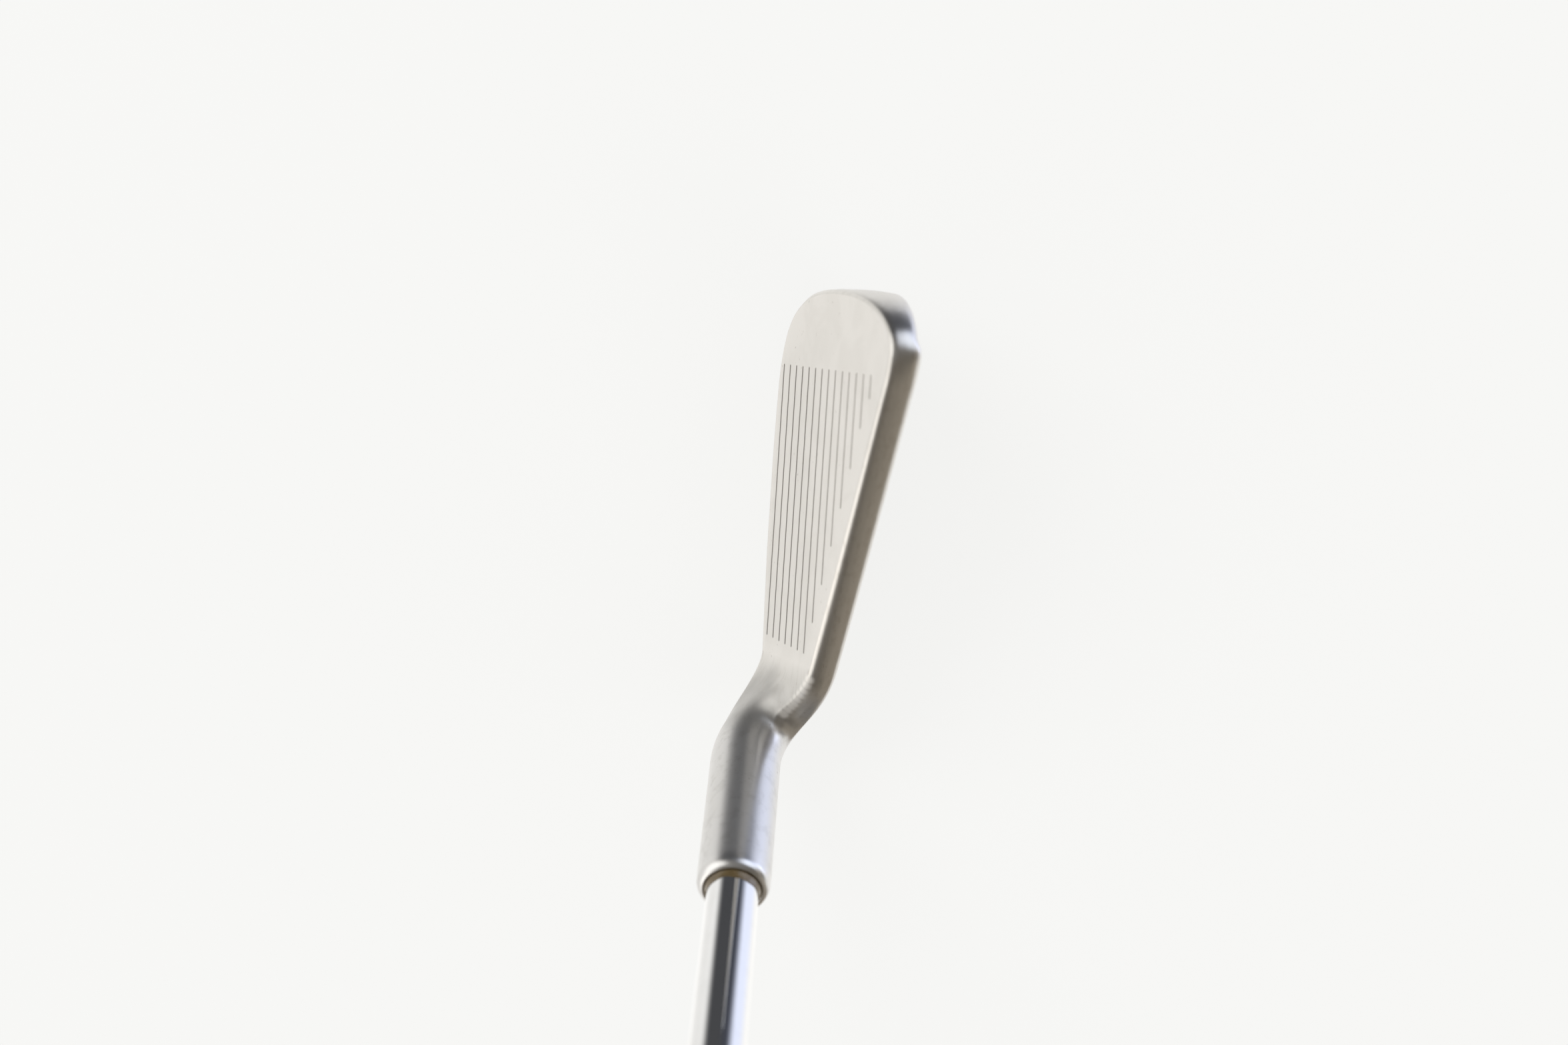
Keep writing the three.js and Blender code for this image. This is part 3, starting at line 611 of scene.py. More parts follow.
def turned(name, profile, around, closed=True, change=None, sharp=32.0):
    """A piece turned about the shaft axis. profile: (radius, place along the axis); radius 0 at an end closes it."""
    b = Builder()
    rows = []
    for i, (r, t) in enumerate(profile):
        if r < 1e-9:
            c = b.add([axis_point(0, 0, t)])[0]
            rows.append([c] * around)
            continue
        pts = []
        for k in range(around):
            a = 2 * math.pi * k / around
            rr, tt = (r, t) if change is None else change(r, t, a, i)
            pts.append(axis_point(rr, a, tt))
        rows.append(b.add(pts))
    if closed:
        rows.append(rows[0])
    b.grid(rows)
    return b.mesh(name, sharp=sharp)


def shaft_r(t):
    return min(SHAFT_TIP_MAX_R, SHAFT_MOUTH_R + SHAFT_TAPER * (t - HOSEL_MOUTH))


def build_shaft():
    tip = HOSEL_MOUTH - BORE_DEPTH + 1.7
    rise = (SHAFT_BUTT_R - SHAFT_TIP_MAX_R) / SHAFT_STEPS
    taper_end = HOSEL_MOUTH + (SHAFT_TIP_MAX_R - SHAFT_MOUTH_R) / SHAFT_TAPER
    outer = [(shaft_r(tip) - 0.3, tip), (shaft_r(tip) - 0.08, tip + 0.12), (shaft_r(tip), tip + 0.4)]
    outer += [(shaft_r(t), t) for t in np.linspace(tip + 6, taper_end, 12)]
    for n in range(SHAFT_STEPS):
        t = FIRST_STEP + n * STEP_PITCH
        r = SHAFT_TIP_MAX_R + rise * n
        for w in (-0.35, 0.0, 0.2, 0.4, 0.6, 0.8, 1.0, 1.35):
            outer.append((r + rise * smooth(w), t + 1.1 * w))
        outer.append((r + rise, t + STEP_PITCH * 0.5))
    outer += [(SHAFT_BUTT_R, SHAFT_END - 0.3), (SHAFT_BUTT_R - 0.12, SHAFT_END - 0.05), (SHAFT_BUTT_R - 0.2, SHAFT_END)]
    inner = [
        (SHAFT_BUTT_R - 0.36, SHAFT_END), (SHAFT_BUTT_R - 0.36, FIRST_STEP + SHAFT_STEPS * STEP_PITCH),
        (SHAFT_TIP_MAX_R - 0.55, FIRST_STEP - 4), (shaft_r(tip + 45) - 0.85, tip + 45), (shaft_r(tip) - 0.85, tip),
    ]
    return turned("shaft_tube", outer + inner, 96, sharp=40)


def build_epoxy():
    m = HOSEL_MOUTH
    start = m - BORE_DEPTH + 2.0
    sleeve = [(shaft_r(start) + BOND_GAP, start), (BORE_R - BOND_GAP, start), (BORE_R - BOND_GAP, m - 0.55)]
    bead = catmull(
        [(BORE_R - BOND_GAP + 0.02, m - 0.28), (BORE_R + 0.1, m + 0.04), (BORE_R + 0.12, m + 0.2), (shaft_r(m) + 0.3, m + 0.5),
         (shaft_r(m) + 0.15, m + 1.0), (shaft_r(m) + 0.08, m + 1.5)],
        (BORE_R - BOND_GAP, m - 0.8), (shaft_r(m) + 0.07, m + 2.6), 4)
    inner = [(shaft_r(m + 1.5) + 0.03, m + 1.55), (shaft_r(m) + BOND_GAP, m)]
    first, last = len(sleeve), len(sleeve) + len(bead) - 1

    def uneven(r, t, a, i):
        if first + 4 <= i <= last:
            w = (i - first - 4) / (last - first - 4)
            wave = 0.16 * math.sin(2 * a + 0.7) + 0.09 * math.sin(5 * a + 1.9) + 0.05 * math.sin(9 * a)
            return r + 0.02 * math.sin(7 * a + 0.4) * math.sin(math.pi * w), t + wave * w
        if i == last + 1:
            return r, t + 0.16 * math.sin(2 * a + 0.7) + 0.09 * math.sin(5 * a + 1.9) + 0.05 * math.sin(9 * a)
        return r, t

    return turned("epoxy_fillet", sleeve + [tuple(p) for p in bead] + inner, 128, change=uneven, sharp=50)


def build_weight():
    tip = HOSEL_MOUTH - BORE_DEPTH + 1.7
    r = shaft_r(tip) - 0.85 - 0.1
    t = HOSEL_MOUTH - BORE_DEPTH + 0.2
    profile = [(0, t + 0.35), (0.9, t + 0.35), (1.15, t), (3.85, t), (4.12, t + 0.12), (4.25, t + 0.4), (4.25, t + 1.1), (4.1, t + 1.3),
               (r, t + 1.3)]
    for k in range(5):
        u = t + 2.6 + k * 2.0
        profile += [(r, u), (r - 0.16, u + 0.18), (r - 0.16, u + 0.5), (r, u + 0.68)]
    profile += [(r, t + 12.5), (r - 0.25, t + 12.95), (r - 0.7, t + 13.2), (0, t + 13.2)]
    return turned("swing_weight_plug", profile, 64, closed=False, sharp=28)


def build_cork():
    tip = HOSEL_MOUTH - BORE_DEPTH + 1.7
    r = shaft_r(tip) - 0.85
    t = HOSEL_MOUTH - BORE_DEPTH + 14.6
    profile = [(0, t), (r - 0.7, t), (r - 0.45, t + 0.25), (r - 0.12, t + 1.5), (r - 0.12, t + 9.5), (r - 0.4, t + 10.8), (r - 0.65, t + 11), (0, t + 11)]

    def rough(rr, tt, a, i):
        w = 0.0 if rr > r - 0.2 else 0.05
        return rr - w * (1 + math.sin(5 * a + i) * 0.5 + math.sin(11 * a) * 0.4), tt

    return turned("tip_cork_plug", profile, 64, closed=False, change=rough, sharp=50)


def build_band():
    t = FIRST_STEP + (SHAFT_STEPS - 2) * STEP_PITCH + 4.0
    r = SHAFT_TIP_MAX_R + (SHAFT_BUTT_R - SHAFT_TIP_MAX_R) / SHAFT_STEPS * (SHAFT_STEPS - 1) + BOND_GAP
    profile = [(r, t), (r + 0.1, t), (r + 0.16, t + 0.06)]
    profile += [(r + 0.16, t + 0.06 + (29.88 * k / 12)) for k in range(1, 13)]
    profile += [(r + 0.1, t + 30), (r, t + 30)]
    return turned("shaft_band_film", profile, 96, sharp=40)


def build_tape():
    r = SHAFT_BUTT_R + BOND_GAP
    a, z = GRIP_START + 2, SHAFT_END - 1
    profile = [(r, a), (r + 0.18, a)] + [(r + 0.18, t) for t in np.linspace(a, z, 80)[1:]] + [(r, z)]

    def wound(rr, tt, ang, i):
        if rr > r + 0.1:
            turn = (ang / (2 * math.pi) + tt / 26.0) % 1.0
            return rr - 0.05 * (1 - smooth(abs(turn - 0.5) * 20)), tt
        return rr, tt

    return turned("grip_tape_wrap", profile, 64, change=wound, sharp=50)


def build_grip():
    g, e = GRIP_START, GRIP_END
    inner = SHAFT_BUTT_R + BOND_GAP + 0.18 + BOND_GAP
    body = [(GRIP_MOUTH_R + 0.02, g + 3.0), (GRIP_MOUTH_R + 0.05, g + 7), (GRIP_MOUTH_R + 0.35, g + 40), (GRIP_MOUTH_R + 1.25, g + 110),
            (GRIP_MOUTH_R + 2.3, g + 180), (GRIP_BUTT_R - 0.3, g + 222), (GRIP_BUTT_R + 0.2, e - 12), (GRIP_BUTT_R + 0.6, e - 6),
            (GRIP_BUTT_R + 0.9, e - 2.2)]
    curve = catmull(body, (GRIP_MOUTH_R, g - 4), (GRIP_BUTT_R + 1.1, e + 2), 60)
    along = np.arange(g + 3.0, e - 2.2, 0.52)
    radius = np.interp(along, curve[:, 1], curve[:, 0])
    mouth = [(inner, g), (GRIP_MOUTH_R - 0.75, g), (GRIP_MOUTH_R - 0.4, g + 0.08), (GRIP_MOUTH_R - 0.12, g + 0.35), (GRIP_MOUTH_R, g + 0.85), (GRIP_MOUTH_R + 0.01, g + 2.0)]
    butt = [(GRIP_BUTT_R + 0.93, e - 1.2), (GRIP_BUTT_R + 0.9, e - 0.4), (GRIP_BUTT_R + 0.75, e - 0.1), (GRIP_BUTT_R + 0.6, e), (inner, e)]
    first = len(mouth)
    last = first + len(along) - 1

    def tread(r, t, a, i):
        if i < first or i > last:
            return r, t
        w = smooth((t - g - 9.0) / 3.0) * smooth((e - 12.0 - t) / 3.0)
        # smooth collars split the tread into panels
        for c in (g + 62.0, g + 126.0, g + 190.0):
            w *= smooth((abs(t - c) - 2.2) / 1.2)
        collar = 0.0
        for c in (g + 62.0, g + 126.0, g + 190.0, g + 8.0, e - 11.0):
            collar += 0.22 * math.exp(-((t - c) / 1.1) ** 2)
        # staggered lozenges: 20 round the grip, in rows 3.1 mm apart
        u = a / (2 * math.pi) * 20
        v = t / 3.1
        p, q = (u + v) % 1.0 - 0.5, (u - v) % 1.0 - 0.5
        lozenge = min(0.5 - abs(p), 0.5 - abs(q))
        cut = 1 - smooth(lozenge / 0.17)
        dimple = math.exp(-((p * p + q * q) / 0.018))
        return r - w * (0.30 * cut + 0.14 * dimple) + collar * 0.35, t

    profile = mouth + list(zip(radius.tolist(), along.tolist())) + butt
    return turned("grip_rubber_sleeve", profile, 240, change=tread, sharp=50)


def build_cap():
    e, top = GRIP_END, CLUB_LENGTH
    inner = SHAFT_BUTT_R + BOND_GAP + 0.18 + BOND_GAP - 0.12
    rim = catmull(
        [(CAP_R - 0.5, e + 0.12), (CAP_R - 0.12, e + 0.35), (CAP_R, e + 0.9), (CAP_R, top - 1.9), (CAP_R - 0.35, top - 0.95),
         (CAP_R - 1.1, top - 0.3), (CAP_R - 2.2, top - 0.02)],
        (CAP_R - 1.1, e + 0.12), (CAP_R - 3.6, top), 5)
    face = [(CAP_R - 2.8, top), (CAP_R - 3.3, top), (CAP_R - 3.5, top - 0.12), (CAP_R - 3.65, top - 0.35), (CAP_R - 4.0, top - 0.42),
            (CAP_R - 4.35, top - 0.35), (CAP_R - 4.5, top - 0.12), (CAP_R - 4.7, top), (CAP_R - 6.5, top), (3.4, top), (3.1, top - 0.1), (2.7, top - 0.35),
            (2.3, top - 0.4), (1.9, top - 0.42), (1.5, top - 0.5), (1.35, top - 0.7), (1.3, top - 1.0)]
    plug = [(1.3, SHAFT_END + 0.9), (1.5, SHAFT_END + 0.6), (inner - 0.3, SHAFT_END + 0.6), (inner, SHAFT_END + 0.9), (inner, e + 0.12)]
    return turned("grip_end_cap", [tuple(p) for p in rim] + face + plug, 160, sharp=38)


# ---------------------------------------------------------------- materials
def new_material(name):
    m = bpy.data.materials.new(name)
    m.use_nodes = True
    nt = m.node_tree
    nt.nodes.clear()
    return m, nt


class Nodes:
    """Short hand for shader nodes."""

    def __init__(self, tree):
        self.t = tree

    def new(self, kind, **values):
        n = self.t.nodes.new(kind)
        for k, v in values.items():
            setattr(n, k, v)
        return n

    def link(self, a, b):
        self.t.links.new(a, b)

    def put(self, socket, value):
        if isinstance(value, bpy.types.NodeSocket):
            self.link(value, socket)
        elif isinstance(value, (tuple, list)) and len(value) == 3 and len(socket.default_value) == 4:
            socket.default_value = (*value, 1.0)
        else:
            socket.default_value = value

    def math(self, op, a, b=0.0, c=0.0, clamp=False):
        n = self.new("ShaderNodeMath", operation=op, use_clamp=clamp)
        for s, v in zip(n.inputs, (a, b, c)):
            self.put(s, v)
        return n.outputs[0]

    def vec(self, op, a, b=(0, 0, 0)):
        n = self.new("ShaderNodeVectorMath", operation=op)
        self.put(n.inputs[0], a)
        if op == "SCALE":
            self.put(n.inputs[3], b)
        else:
            self.put(n.inputs[1], b)
        return n.outputs[1] if op in ("DOT_PRODUCT", "LENGTH", "DISTANCE") else n.outputs[0]

    def step(self, value, lo, hi, a=0.0, b=1.0):
        n = self.new("ShaderNodeMapRange", interpolation_type="SMOOTHSTEP", clamp=True)
        self.put(n.inputs[0], value)
        for s, v in zip(n.inputs[1:5], (lo, hi, a, b)):
            self.put(s, v)
        return n.outputs[0]

    def mix(self, w, a, b):
        n = self.new("ShaderNodeMix", data_type="RGBA")
        self.put(n.inputs[0], w)
        self.put(n.inputs[6], a)
        self.put(n.inputs[7], b)
        return n.outputs[2]

    def blend(self, w, a, b):
        n = self.new("ShaderNodeMix", data_type="FLOAT")
        self.put(n.inputs[0], w)
        self.put(n.inputs[2], a)
        self.put(n.inputs[3], b)
        return n.outputs[0]

    def noise(self, vector, scale, detail=4.0, rough=0.55, distortion=0.0):
        n = self.new("ShaderNodeTexNoise")
        self.put(n.inputs["Vector"], vector)
        n.inputs["Scale"].default_value = scale
        n.inputs["Detail"].default_value = detail
        n.inputs["Roughness"].default_value = rough
        n.inputs["Distortion"].default_value = distortion
        return n.outputs[0]

    def stretch(self, vector, rotation, scale):
        n = self.new("ShaderNodeMapping")
        self.put(n.inputs["Vector"], vector)
        n.inputs["Rotation"].default_value = rotation
        n.inputs["Scale"].default_value = scale
        return n.outputs[0]

    def bump(self, height, strength, distance, normal=None):
        n = self.new("ShaderNodeBump")
        self.put(n.inputs["Height"], height)
        n.inputs["Strength"].default_value = strength
        n.inputs["Distance"].default_value = distance
        if normal is not None:
            self.link(normal, n.inputs["Normal"])
        return n.outputs[0]

    def principled(self, **values):
        n = self.new("ShaderNodeBsdfPrincipled")
        for k, v in values.items():
            self.put(n.inputs[k.replace("_", " ")], v)
        out = self.new("ShaderNodeOutputMaterial")
        self.link(n.outputs[0], out.inputs[0])
        return n


def position(n):
    """The place on the piece, in millimetres."""
    g = n.new("ShaderNodeTexCoord")
    return n.vec("SCALE", g.outputs["Object"], 1000.0)


def head_material():
    m, nt = new_material("cast_steel_head")
    n = Nodes(nt)
    p = position(n)
    face = n.new("ShaderNodeAttribute", attribute_name="face").outputs["Fac"]
    groove = n.new("ShaderNodeAttribute", attribute_name="groove").outputs["Fac"]
    sep = n.new("ShaderNodeSeparateXYZ")
    n.link(p, sep.inputs[0])
    # place along the hosel axis and height up the face
    along = n.vec("DOT_PRODUCT", n.vec("SUBTRACT", p, (AXIS_X, AXIS_Y, 0)), tuple(AXIS_DIR))
    hosel = n.step(sep.outputs[0], 30.0, 44.0)
    # fine cast-and-blasted texture, brushing up the face, worn patches
    grain = n.noise(n.stretch(p, (-LOFT, 0, 0), (1.0, 1.0, 0.12)), 5.5, 5.0, 0.7)
    fine = n.noise(p, 9.0, 4.0, 0.7)
    patches = n.noise(p, 0.11, 4.0, 0.6, 0.6)
    pits = n.step(n.noise(p, 1.15, 3.0, 0.6), 0.655, 0.72)
    spots = n.math("MULTIPLY", pits, n.step(n.noise(p, 0.16, 2.0, 0.5), 0.47, 0.62))
    # painted dark reflection: four soft dark patches on the neck near the heel, which darken the colour and raise the
    # roughness
    neck_painted_dark_reflection = n.math("MAXIMUM", n.step(n.vec("DISTANCE", p, (38.2, -9.6, 15.6)), 9.0, 3.0), n.step(n.vec("DISTANCE", p, (36.2, -6.8, 13.2)), 7.0, 2.5))
    neck_painted_dark_reflection = n.math("MAXIMUM", neck_painted_dark_reflection, n.step(n.vec("DISTANCE", p, (36.9, -9.8, 10.2)), 7.5, 2.5))
    neck_painted_dark_reflection = n.math("MAXIMUM", neck_painted_dark_reflection, n.step(n.vec("DISTANCE", p, (36.9, -5.2, 18.0)), 5.0, 1.5))
    neck_painted_dark_reflection = n.math("MULTIPLY", neck_painted_dark_reflection, n.blend(n.noise(p, 0.35, 3.0, 0.6), 0.55, 1.0))
    face_rough = n.math("ADD", n.blend(patches, 0.30, 0.46), n.math("MULTIPLY", grain, 0.06))
    wall_rough = n.blend(n.noise(p, 0.4, 4.0, 0.6), 0.285, 0.34)
    hosel_rough = n.blend(n.noise(p, 0.9, 4.0, 0.6), 0.285, 0.33)
    rough = n.blend(face, n.blend(hosel, wall_rough, hosel_rough), face_rough)
    rough = n.math("ADD", rough, n.math("MULTIPLY", spots, 0.15))
    polished = n.step(along, HOSEL_MOUTH - 4.0, HOSEL_MOUTH - 2.0)
    rough = n.blend(polished, rough, 0.285)
    rough = n.blend(neck_painted_dark_reflection, rough, 0.5)
    rough = n.blend(groove, rough, 0.6)
    base = n.mix(face, (0.66, 0.645, 0.62), (0.80, 0.782, 0.757))
    base = n.mix(hosel, base, (0.70, 0.695, 0.69))
    base = n.mix(n.math("MULTIPLY", n.step(patches, 0.42, 0.66), 0.14), base, (0.60, 0.585, 0.55))
    # the painted dark reflection on the neck
    base = n.mix(n.math("MULTIPLY", neck_painted_dark_reflection, 0.62), base, (0.34, 0.335, 0.325))
    base = n.mix(n.math("MULTIPLY", spots, 0.45), base, (0.40, 0.38, 0.35))
    # stains on the hosel, and faint streaks along the top line
    stains = n.math("MULTIPLY", hosel, n.step(n.noise(p, 0.42, 5.0, 0.66), 0.49, 0.64))
    base = n.mix(n.math("MULTIPLY", stains, 0.22), base, (0.42, 0.41, 0.39))
    streaks = n.step(n.noise(n.stretch(p, (0, -0.418, 0), (0.07, 1.0, 1.0)), 1.1, 4.0, 0.65), 0.48, 0.66)
    streaks = n.math("MULTIPLY", streaks, n.blend(face, n.blend(hosel, 0.30, 0.0), 0.0))
    base = n.mix(streaks, base, (0.47, 0.445, 0.41))
    # the crease between the top line and the hosel gets a painted highlight: a near-white strip of colour
    painted_crease_highlight = None
    line = [(31.2, 1.6, 27.8), (32.4, 1.2, 26.8), (33.6, 0.7, 25.6), (34.7, 0.2, 24.4), (35.7, -0.3, 23.2), (36.7, -0.8, 22.0),
            (37.5, -1.4, 21.1), (38.4, -2.0, 20.2), (39.2, -2.6, 19.2)]
    for point in line:
        spot = n.step(n.vec("DISTANCE", p, point), 1.5, 0.5)
        painted_crease_highlight = spot if painted_crease_highlight is None else n.math("MAXIMUM", painted_crease_highlight, spot)
    base = n.mix(n.math("MULTIPLY", painted_crease_highlight, 0.9), base, (0.97, 0.955, 0.93))
    # the score lines are darker, less so toward the top line
    base = n.mix(n.math("MULTIPLY", groove, n.blend(n.step(sep.outputs[2], 14.0, 40.0), 0.72, 0.10)), base, (0.42, 0.41, 0.39))
    height = n.math("ADD", n.math("MULTIPLY", fine, 0.5), n.math("MULTIPLY", grain, 0.5))
    # the grain is finer than a dot of the picture from further away, so it fades with distance
    near = n.step(n.new("ShaderNodeCameraData").outputs["View Distance"], 1.3, 0.7)
    normal = n.bump(n.math("MULTIPLY", height, near), 0.16, 0.00005)
    main = n.principled(Base_Color=base, Metallic=1.0, Roughness=rough, Normal=normal)
    # the satin of the casting: part of the light scatters widely, most of all on the hosel
    veil = n.new("ShaderNodeBsdfAnisotropic")
    n.put(veil.inputs["Color"], base)
    veil.inputs["Roughness"].default_value = 0.72
    n.link(normal, veil.inputs["Normal"])
    both = n.new("ShaderNodeMixShader")
    scatter = n.blend(face, n.blend(polished, n.blend(hosel, 0.04, 0.20), 0.04), 0.10)
    # the painted highlight on the crease also scatters widely
    n.put(both.inputs[0], n.blend(painted_crease_highlight, scatter, 0.85))
    out = next(x for x in nt.nodes if x.type == "OUTPUT_MATERIAL")
    n.link(main.outputs[0], both.inputs[1])
    n.link(veil.outputs[0], both.inputs[2])
    n.link(both.outputs[0], out.inputs[0])
    return m


def chrome_material():
    m, nt = new_material("chrome_plate")
    n = Nodes(nt)
    p = position(n)
    wear = n.noise(p, 0.35, 4.0, 0.6)
    fine = n.noise(n.stretch(p, (0, LIE - math.pi / 2, 0), (1.0, 1.0, 0.1)), 2.6, 3.0, 0.6)
    rough = n.math("ADD", n.blend(n.step(wear, 0.4, 0.7), 0.035, 0.075), n.math("MULTIPLY", fine, 0.02))
    base = n.mix(n.step(wear, 0.45, 0.75), (0.80, 0.805, 0.815), (0.77, 0.775, 0.78))
    normal = n.bump(fine, 0.05, 0.00002)
    n.principled(Base_Color=base, Metallic=1.0, Roughness=rough, Normal=normal)
    return m


def epoxy_material():
    m, nt = new_material("amber_epoxy")
    n = Nodes(nt)
    p = position(n)
    cloud = n.noise(p, 0.9, 3.0, 0.5)
    base = n.mix(cloud, (0.075, 0.052, 0.022), (0.17, 0.118, 0.05))
    n.principled(Base_Color=base, Roughness=n.blend(cloud, 0.18, 0.34), Coat_Weight=0.4, Coat_Roughness=0.1,
                 Normal=n.bump(n.noise(p, 2.2, 2.0, 0.5), 0.2, 0.0001))
    return m


def brass_material():
    m, nt = new_material("turned_brass")
    n = Nodes(nt)
    p = position(n)
    rings = n.noise(n.stretch(p, (0, LIE - math.pi / 2, 0), (0.2, 0.2, 6.0)), 2.0, 3.0, 0.6)
    base = n.mix(n.noise(p, 0.5, 3.0), (0.72, 0.55, 0.25), (0.60, 0.43, 0.17))
    n.principled(Base_Color=base, Metallic=1.0, Roughness=n.blend(rings, 0.22, 0.4), Normal=n.bump(rings, 0.3, 0.00005))
    return m


def cork_material():
    m, nt = new_material("pressed_cork")
    n = Nodes(nt)
    p = position(n)
    cells = n.new("ShaderNodeTexVoronoi")
    n.put(cells.inputs["Vector"], p)
    cells.inputs["Scale"].default_value = 1.1
    d = cells.outputs["Distance"]
    base = n.mix(d, (0.36, 0.23, 0.12), (0.62, 0.44, 0.26))
    base = n.mix(n.step(n.noise(p, 2.2, 3.0), 0.6, 0.7), base, (0.16, 0.09, 0.05))
    n.principled(Base_Color=base, Roughness=0.92, Normal=n.bump(d, 0.5, 0.0002))
    return m


def band_material():
    m, nt = new_material("film_band")
    n = Nodes(nt)
    p = position(n)
    along = n.vec("DOT_PRODUCT", n.vec("SUBTRACT", p, (AXIS_X, AXIS_Y, 0)), tuple(AXIS_DIR))
    start = FIRST_STEP + (SHAFT_STEPS - 2) * STEP_PITCH + 4.0
    edge = n.math("MAXIMUM", n.step(n.math("ABSOLUTE", n.math("SUBTRACT", along, start + 2.6)), 0.85, 0.6),
                  n.step(n.math("ABSOLUTE", n.math("SUBTRACT", along, start + 27.4)), 0.85, 0.6))
    base = n.mix(edge, (0.035, 0.038, 0.045), (0.55, 0.56, 0.58))
    mottle = n.noise(p, 3.0, 3.0)
    n.principled(Base_Color=base, Metallic=n.math("MULTIPLY", edge, 0.9), Roughness=n.blend(mottle, 0.2, 0.34), Coat_Weight=0.5, Coat_Roughness=0.08,
                 Normal=n.bump(mottle, 0.06, 0.00003))
    return m


def tape_material():
    m, nt = new_material("paper_tape")
    n = Nodes(nt)
    p = position(n)
    crepe = n.noise(n.stretch(p, (0, LIE - math.pi / 2, 0), (0.5, 0.5, 3.0)), 1.6, 4.0, 0.65)
    base = n.mix(crepe, (0.60, 0.54, 0.40), (0.74, 0.69, 0.55))
    n.principled(Base_Color=base, Roughness=0.85, Normal=n.bump(crepe, 0.5, 0.0001))
    return m


def rubber_material(name, tone, rough, grain):
    m, nt = new_material(name)
    n = Nodes(nt)
    p = position(n)
    fine = n.noise(p, grain, 5.0, 0.65)
    broad = n.noise(p, 0.06, 3.0, 0.5)
    base = n.mix(n.step(broad, 0.35, 0.7), tuple(tone), tuple(v * 1.55 for v in tone))
    base = n.mix(n.math("MULTIPLY", n.step(fine, 0.6, 0.8), 0.35), base, tuple(v * 3.0 for v in tone))
    n.principled(Base_Color=base, Roughness=n.blend(broad, rough, rough + 0.12), Specular_IOR_Level=0.42,
                 Sheen_Weight=0.12, Sheen_Roughness=0.5, Normal=n.bump(fine, 0.28, 0.00012))
    return m


# ---------------------------------------------------------------- pieces
def place(obj, material, node):
    obj.data.materials.append(material)
    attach(obj, "root")
    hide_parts(node)
    return obj


head = place(build_head(), head_material(), "club_head")
place(build_shaft(), chrome_material(), "shaft")
place(build_epoxy(), epoxy_material(), "hosel_epoxy")
place(build_weight(), brass_material(), "tip_weight")
place(build_cork(), cork_material(), "tip_cork")
place(build_band(), band_material(), "shaft_band")
place(build_tape(), tape_material(), "grip_tape")
place(build_grip(), rubber_material("grip_rubber", (0.020, 0.020, 0.021), 0.58, 6.0), "grip_sleeve")
place(build_cap(), rubber_material("cap_rubber", (0.016, 0.016, 0.017), 0.42, 9.0), "grip_cap")


# ---------------------------------------------------------------- studio
scene = bpy.context.scene
scene.view_settings.view_transform = "Standard"
scene.view_settings.look = "None"
scene.view_settings.exposure = 0.0
scene.view_settings.gamma = 1.0


def build_floor():
    bm = bmesh.new()
    n = 24
    size = 6.0
    rows = [[bm.verts.new((-size + 2 * size * i / n, -size + 2 * size * j / n, -0.00002)) for i in range(n + 1)] for j in range(n + 1)]
    for j in range(n):
        for i in range(n):
            bm.faces.new((rows[j][i], rows[j][i + 1], rows[j + 1][i + 1], rows[j + 1][i]))
    mesh = bpy.data.meshes.new("studio_floor")
    bm.to_mesh(mesh)
    bm.free()
    floor = bpy.data.objects.new("studio_floor", mesh)
    scene.collection.objects.link(floor)
    m, nt = new_material("pale_floor")
    k = Nodes(nt)
    # a pale sheet that glows: painted light, brightest round the club and dimmer further out, with a little real
    # shading so pieces still sit on it
    diffuse = k.new("ShaderNodeBsdfDiffuse")
    diffuse.inputs[0].default_value = (0.15, 0.15, 0.149, 1)
    glow = k.new("ShaderNodeEmission")
    away = k.vec("LENGTH", k.new("ShaderNodeNewGeometry").outputs["Position"])
    k.put(glow.inputs[0], k.mix(k.step(away, 0.35, 1.7), FLOOR_GLOW, (0.58, 0.58, 0.573)))
    glow.inputs[1].default_value = 1.0
    direct = k.new("ShaderNodeAddShader")
    k.link(diffuse.outputs[0], direct.inputs[0])
    k.link(glow.outputs[0], direct.inputs[1])
    out = k.new("ShaderNodeOutputMaterial")
    k.link(direct.outputs[0], out.inputs[0])
    mesh.materials.append(m)
    # the metal mirrors the studio below the horizon instead, see the world
    floor.visible_glossy = False
    return floor


FLOOR_GLOW = (0.80, 0.80, 0.785)
build_floor()

world = bpy.data.worlds.new("studio")
scene.world = world
world.use_nodes = True
wt = world.node_tree
wt.nodes.clear()
w = Nodes(wt)
direction = w.new("ShaderNodeTexCoord").outputs["Generated"]
sep = w.new("ShaderNodeSeparateXYZ")
w.link(direction, sep.inputs[0])


def toward(azimuth, elevation):
    a, e = math.radians(azimuth), math.radians(elevation)
    return (math.cos(e) * math.cos(a), math.cos(e) * math.sin(a), math.sin(e))


def lobe(azimuth, elevation, full, none):
    """1 within full degrees of a direction, 0 beyond none degrees."""
    d = w.vec("DOT_PRODUCT", direction, toward(azimuth, elevation))
    return w.step(d, math.cos(math.radians(none)), math.cos(math.radians(full)))


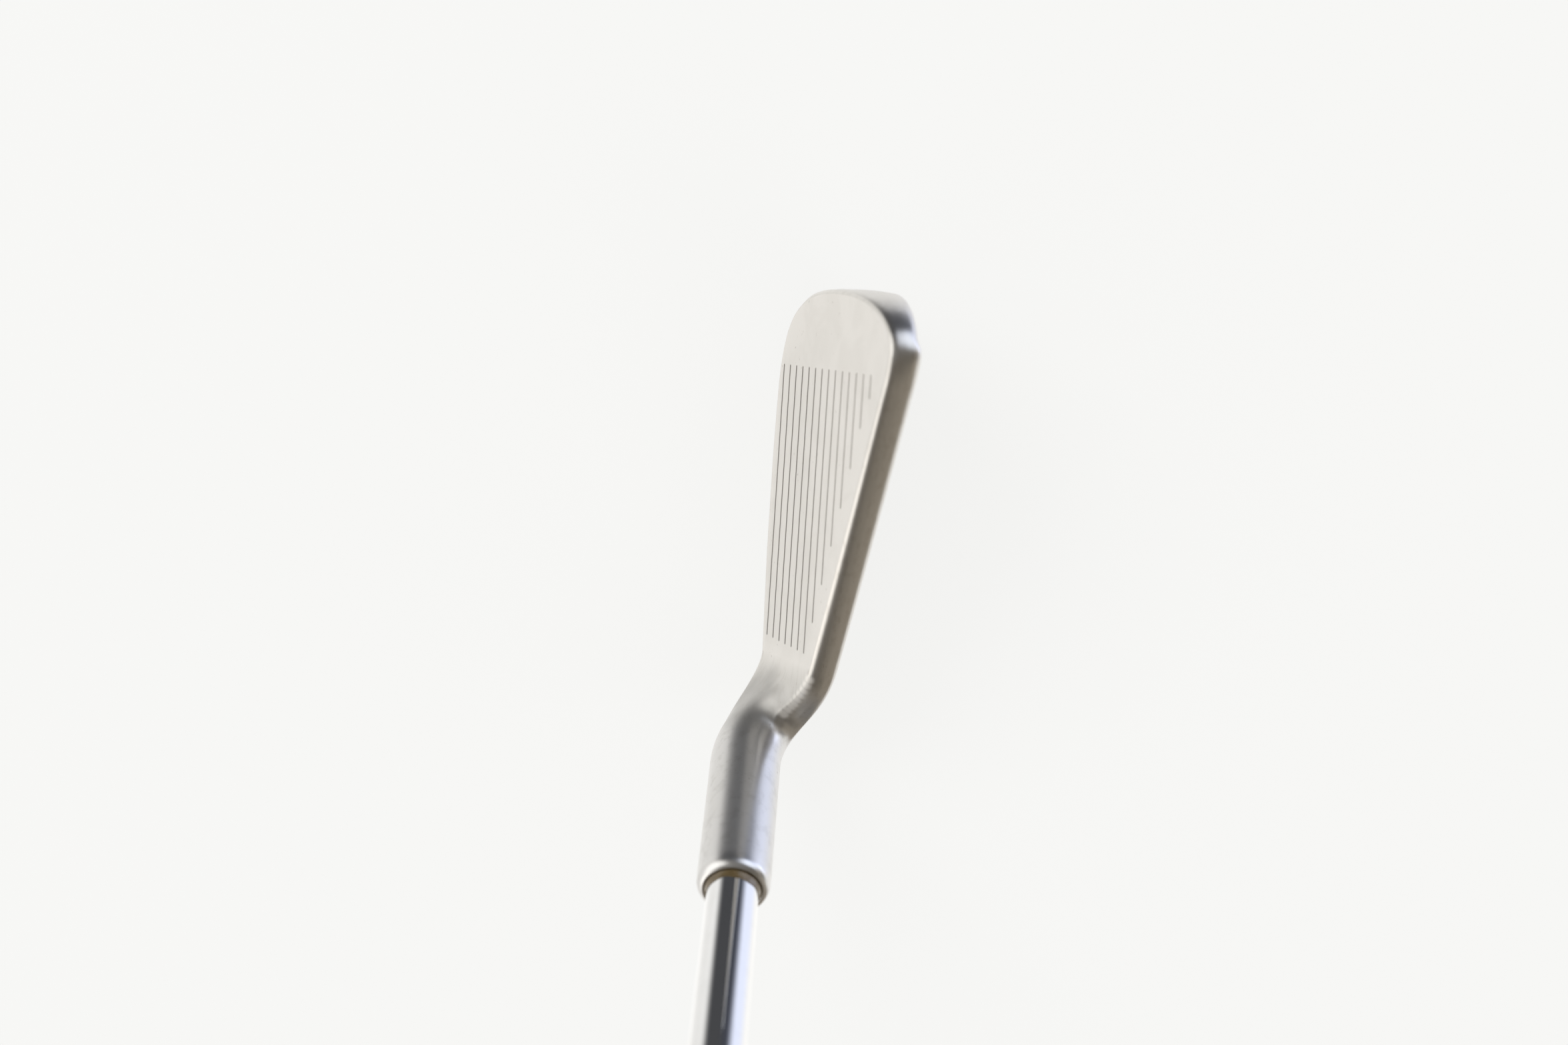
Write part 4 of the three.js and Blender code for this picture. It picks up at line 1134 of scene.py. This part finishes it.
# the room as the metal sees it; azimuth is counted from +X towards +Y
height = sep.outputs[2]
room = w.mix(w.step(height, 0.05, 0.38), (0.50, 0.45, 0.375), (0.42, 0.372, 0.305))
room = w.mix(w.step(height, 0.38, 0.58), room, (0.155, 0.138, 0.115))
room = w.mix(w.step(height, 0.80, 0.97), room, (0.20, 0.195, 0.185))
room = w.mix(w.step(height, 0.06, -0.12), room, (1.15, 1.135, 1.10))
room = w.mix(lobe(22, -6, 24, 46), room, (0.34, 0.30, 0.245))
room = w.mix(lobe(180, 12, 24, 50), room, (0.19, 0.19, 0.19))
room = w.mix(lobe(-178, -6, 27, 54), room, (0.075, 0.076, 0.08))
room = w.mix(lobe(-85, -5, 32, 62), room, (0.95, 0.935, 0.90))
room = w.mix(lobe(-104, 32, 18, 42), room, (1.6, 1.58, 1.53))
room = w.mix(lobe(138, 20, 12, 34), room, (1.45, 1.55, 1.75))
room = w.mix(lobe(113, -16, 6, 19), room, (2.1, 2.12, 2.18))
room = w.mix(lobe(-2, 15, 8, 25), room, (0.12, 0.105, 0.085))
room = w.mix(lobe(-48, 19, 12, 30), room, (1.75, 1.70, 1.62))
room = w.mix(lobe(86, 6, 5, 16), room, (0.10, 0.10, 0.105))
room = w.mix(lobe(-2, -31, 9, 22), room, (0.16, 0.16, 0.165))
tint = w.mix(lobe(135, -28, 12, 45), (1.0, 1.0, 1.0), (0.86, 0.92, 1.13))
room = w.vec("MULTIPLY", room, tint)
path = w.new("ShaderNodeLightPath")
colour = w.mix(path.outputs["Is Diffuse Ray"], room, (0.62, 0.62, 0.62))
colour = w.mix(path.outputs["Is Camera Ray"], colour, (0.69, 0.69, 0.682))
bg = w.new("ShaderNodeBackground")
w.put(bg.inputs[0], colour)
bg.inputs[1].default_value = 1.0
wo = w.new("ShaderNodeOutputWorld")
w.link(bg.outputs[0], wo.inputs[0])


def area(name, location, target, size, power, colour=(1, 1, 1)):
    light = bpy.data.lights.new(name, "AREA")
    light.shape = "RECTANGLE"
    light.size, light.size_y = size
    light.energy = power
    light.color = colour
    obj = bpy.data.objects.new(name, light)
    scene.collection.objects.link(obj)
    obj.location = location
    obj.rotation_mode = "QUATERNION"
    obj.rotation_quaternion = (Vector(target) - Vector(location)).to_track_quat("-Z", "Y")
    obj.visible_glossy = False
    return obj


area("key_panel", (-0.9, -1.2, 1.5), (0.1, 0, 0.2), (1.2, 1.0), 10)
area("fill_panel", (1.3, 1.4, 1.3), (0.2, 0, 0.3), (1.4, 1.2), 8)

# ---------------------------------------------------------------- camera, as calibrated from the score lines and the shaft
cam_data = bpy.data.cameras.new("camera")
cam = bpy.data.objects.new("camera", cam_data)
scene.collection.objects.link(cam)
cam_data.sensor_fit = "HORIZONTAL"
cam_data.sensor_width = 36.0
cam_data.lens = 3650 / 2352 * 36
cam_data.clip_start, cam_data.clip_end = 0.01, 50
right = Vector((-0.06473, 0.99766, -0.0221)).normalized()
down = Vector((0.99409, 0.0664, 0.08588))
down = (down - right * down.dot(right)).normalized()
forward = right.cross(down)
rotation = Matrix((right, -down, -forward)).transposed()
cam.matrix_world = Matrix.Translation(Vector((-36.395, 2.54, 471.362)) * 1e-3) @ rotation.to_4x4()
focus = bpy.data.objects.new("focus", None)
scene.collection.objects.link(focus)
focus.location = (0.0, -0.004, 0.012)
cam_data.dof.use_dof = True
cam_data.dof.focus_object = focus
cam_data.dof.aperture_fstop = 8.0
scene.camera = cam
